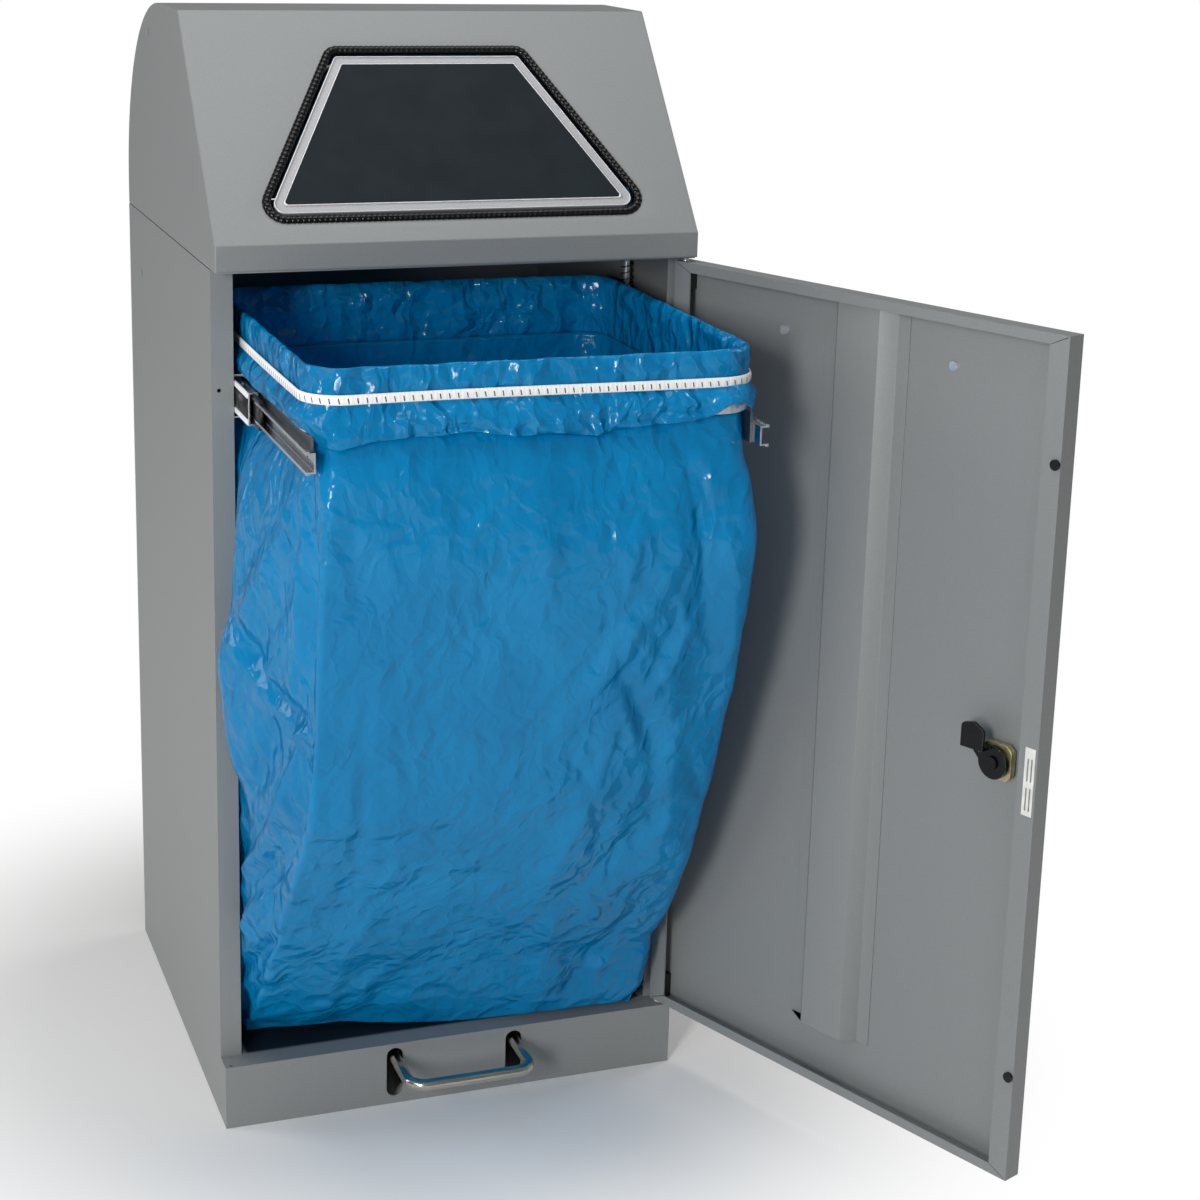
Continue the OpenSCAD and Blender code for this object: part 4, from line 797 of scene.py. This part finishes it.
# The cuff: (height, distance out from the ring's inside) pairs, from the hem up inside, over the ring's top
# and down again outside.
cuff = np.array([(HEM_Z, 0), (644, 0), (647, 0.1), (650, 0.1), (653, 0.1), (656, 0.2), (659, 0.2), (662, 0.2),
                 (665, 0.2), (668, 0.2), (671, 0.2), (674, 0.2), (677, 0.1), (680, 0.1), (683, 0.1),
                 (685.5, 0.2), (687.5, 0.4), (689.4, 1.0), (690.7, 2.0), (691.1, 3.2), (690.7, 4.4),
                 (689.4, 5.3), (687, 5.8), (684, 6.0), (681, 6.1), (678, 6.0), (675, 5.7), (672, 5.2),
                 (668, 5.1), (664, 5.4), (662.3, 6.6), (660.5, 8.0), (658.5, 9.3), (656.5, 10.2), (654.5, 10.8),
                 (652.5, 11.0), (650.5, 10.9), (648.5, 10.6), (646.5, 10.2), (645, 9.8)], float)


def film_loops(out):
    """The film's outline at the ring, widened by out: a rounded rectangle cut at the body's nine corners."""
    one = np.ones_like(out)
    x, front, rear = RING_X + out, RING_FRONT - out, RING_REAR + out
    corners = np.stack([np.stack(p, -1) for p in (
        (-x, front), (60 * one, front), (x, front), (x, -190 * one), (x, rear), (-x, rear),
        (-x, -184 * one), (-x, -226 * one), (-x, -306 * one))])
    r = np.zeros(corners.shape[:2])
    r[[0, 2, 4, 5]] = RING_R + out
    return outline(corners, r, 8, RUNS)


top = film_loops(cuff[:, 1]).transpose(1, 0, 2)
u = run_round(top)[0]
v = np.repeat(cuff[:, :1], cols, 1)
normal = outward(top)
row = np.arange(len(cuff))[:, None]
inside, over = row < 17, (row > 19) * (row < 28)
hang = np.clip((666 - v) / 19, 0, 1) * (row > 28)
back = u[:, -1:] - u
ahead = np.where(u < half_round, u, -back)
front = np.clip((-300 - top[..., 1]) / 60, 0, 1)
tip_at = 346
tip = np.exp(-((u - tip_at) / 15) ** 2)
lying = np.concatenate([scattered(60, 41, (-20, 360), (640, 668), (-12, 12), (12, 40), (2.5, 5), (1.2, 3.6)),
                        scattered(60, 45, (-20, 360), (640, 668), (30, 150), (5, 12), (3, 6), (0.8, 2.6)),
                        scattered(60, 47, (-340, -20), (640, 668), (-25, 25), (12, 34), (3, 6), (0.6, 2.0)),
                        scattered(60, 49, (360, 700), (640, 668), (-25, 25), (12, 34), (3, 6), (0.6, 2.0))])
push = creased(ahead, v, lying) * hang + 7.5 * tip * hang
high = scattered(90, 53, (-340, 700), (674, 690), (60, 120), (4, 9), (3, 7), (0.2, 0.8))
push = push + creased(ahead, v, high) * over
inner = np.concatenate([scattered(200, 57, (0, 1320), (642, 690), (15, 165), (8, 28), (4, 10), (1.0, 3.0)),
                        scattered(110, 61, (660, 900), (648, 690), (10, 170), (6, 22), (3, 8), (1.5, 4.2))])
push = push - np.abs(creased(u, v, inner)) * inside * np.clip((v - HEM_Z) / 6, 0, 1)
top = top + normal * np.maximum(push, np.where(inside, -4.5, -0.8 - 2 * hang))[..., None]
drop = -7.5 * front * hang - 2.2 * hang * np.sin(u / 31 + 1) * (0.3 + 0.7 * front) + 16 * tip * hang
scallops = [(45, 0, 90, 40, 22, -3), (140, 0, 90, 40, 30, 3), (235, 0, 90, 40, 26, -3)]
drop = drop + creased(ahead, 0 * v, scallops) * hang
# Beside the slides its edge isn't let down, so that it clears them.
beside = np.clip((np.abs(top[..., 0]) - 166) / 5, 0, 1)
drop = drop - beside * np.minimum(drop, 0)
wave = 0.45 * np.sin(u / 23) * np.sin(u / 7.3) * (row > 16) * (row < 24)
top = np.dstack([top, v + drop + wave])
top[..., 0] = np.clip(top[..., 0], -180.5, 180.5)
bag_cuff = mesh_of("bag_cuff", [closed(top)])
thicken(bag_cuff, 0.3, 0)
stand_for(bag_cuff, polythene("blown_polythene_crumpled", 10.0), "bag_film", "bag")


# Elastic band: rubber threads braided over with white yarn, stretched round the cuff to hold it. A dark
# tracer thread crosses it every 6.6 mm.
points, band_z, band_out, length_m, tick_mm = 1200, 668, 6.7, 1.3, 6.6
band = evenly(film_loops(np.array([band_out]))[:, 0], points)
t = np.linspace(0, 2 * np.pi, 15)
fat, tall = 0.9 * np.cos(t), 3.4 * np.sin(t) * (1 - 0.12 * np.cos(2 * t))
ring = band[:, None] + outward(band)[:, None] * fat[None, :, None]
sag = 0.8 * np.sin(np.arange(points) / points * 2 * np.pi * 3)
ring = np.dstack([ring, band_z + tall[None] + 0 * ring[..., 0] + sag[:, None]])
ring = np.concatenate([ring, ring[:1]])
round_m = np.arange(points + 1)[:, None] * length_m / points
marks = np.dstack(np.broadcast_arrays(round_m, (tall / 8.2 + 0.5)[None]))
white, tree, shader = material("braided_elastic", "#E9E9E6", 0.75)
along = add(tree, "SeparateXYZ", Vector=add(tree, "UVMap").outputs[0])
tick = add(tree, "Math", operation="MULTIPLY_ADD", i0=along.outputs[0], i1=1000 / tick_mm,
           i2=add(tree, "Math", operation="MULTIPLY", i0=along.outputs[1], i1=0.25).outputs[0])
tick = add(tree, "Math", operation="FRACT", i0=tick.outputs[0])
tick = add(tree, "Math", operation="LESS_THAN", i0=tick.outputs[0], i1=0.14)
level = add(tree, "Math", operation="COMPARE", i0=along.outputs[1], i1=0.42, i2=0.24)
mark = add(tree, "Math", operation="MULTIPLY", i0=tick.outputs[0], i1=level.outputs[0])
tint = add(tree, "MixRGB", Fac=mark.outputs[0], Color1=linear("#F0F0EE"), Color2=linear("#34363A"))
tree.links.new(tint.outputs[0], shader.inputs["Base Color"])
fine = add(tree, "Mapping", Vector=add(tree, "UVMap").outputs[0], Scale=(1000 / 1.7 / 6.28, 1.0, 1.0))
yarn = add(tree, "TexWave", Vector=fine.outputs[0], Scale=1.0)
feel(tree, shader, yarn.outputs["Fac"], 0.5, 0.3)
elastic = mesh_of("elastic_braid", [ring], [marks])
stand_for(elastic, white, "elastic", "elastic_band")
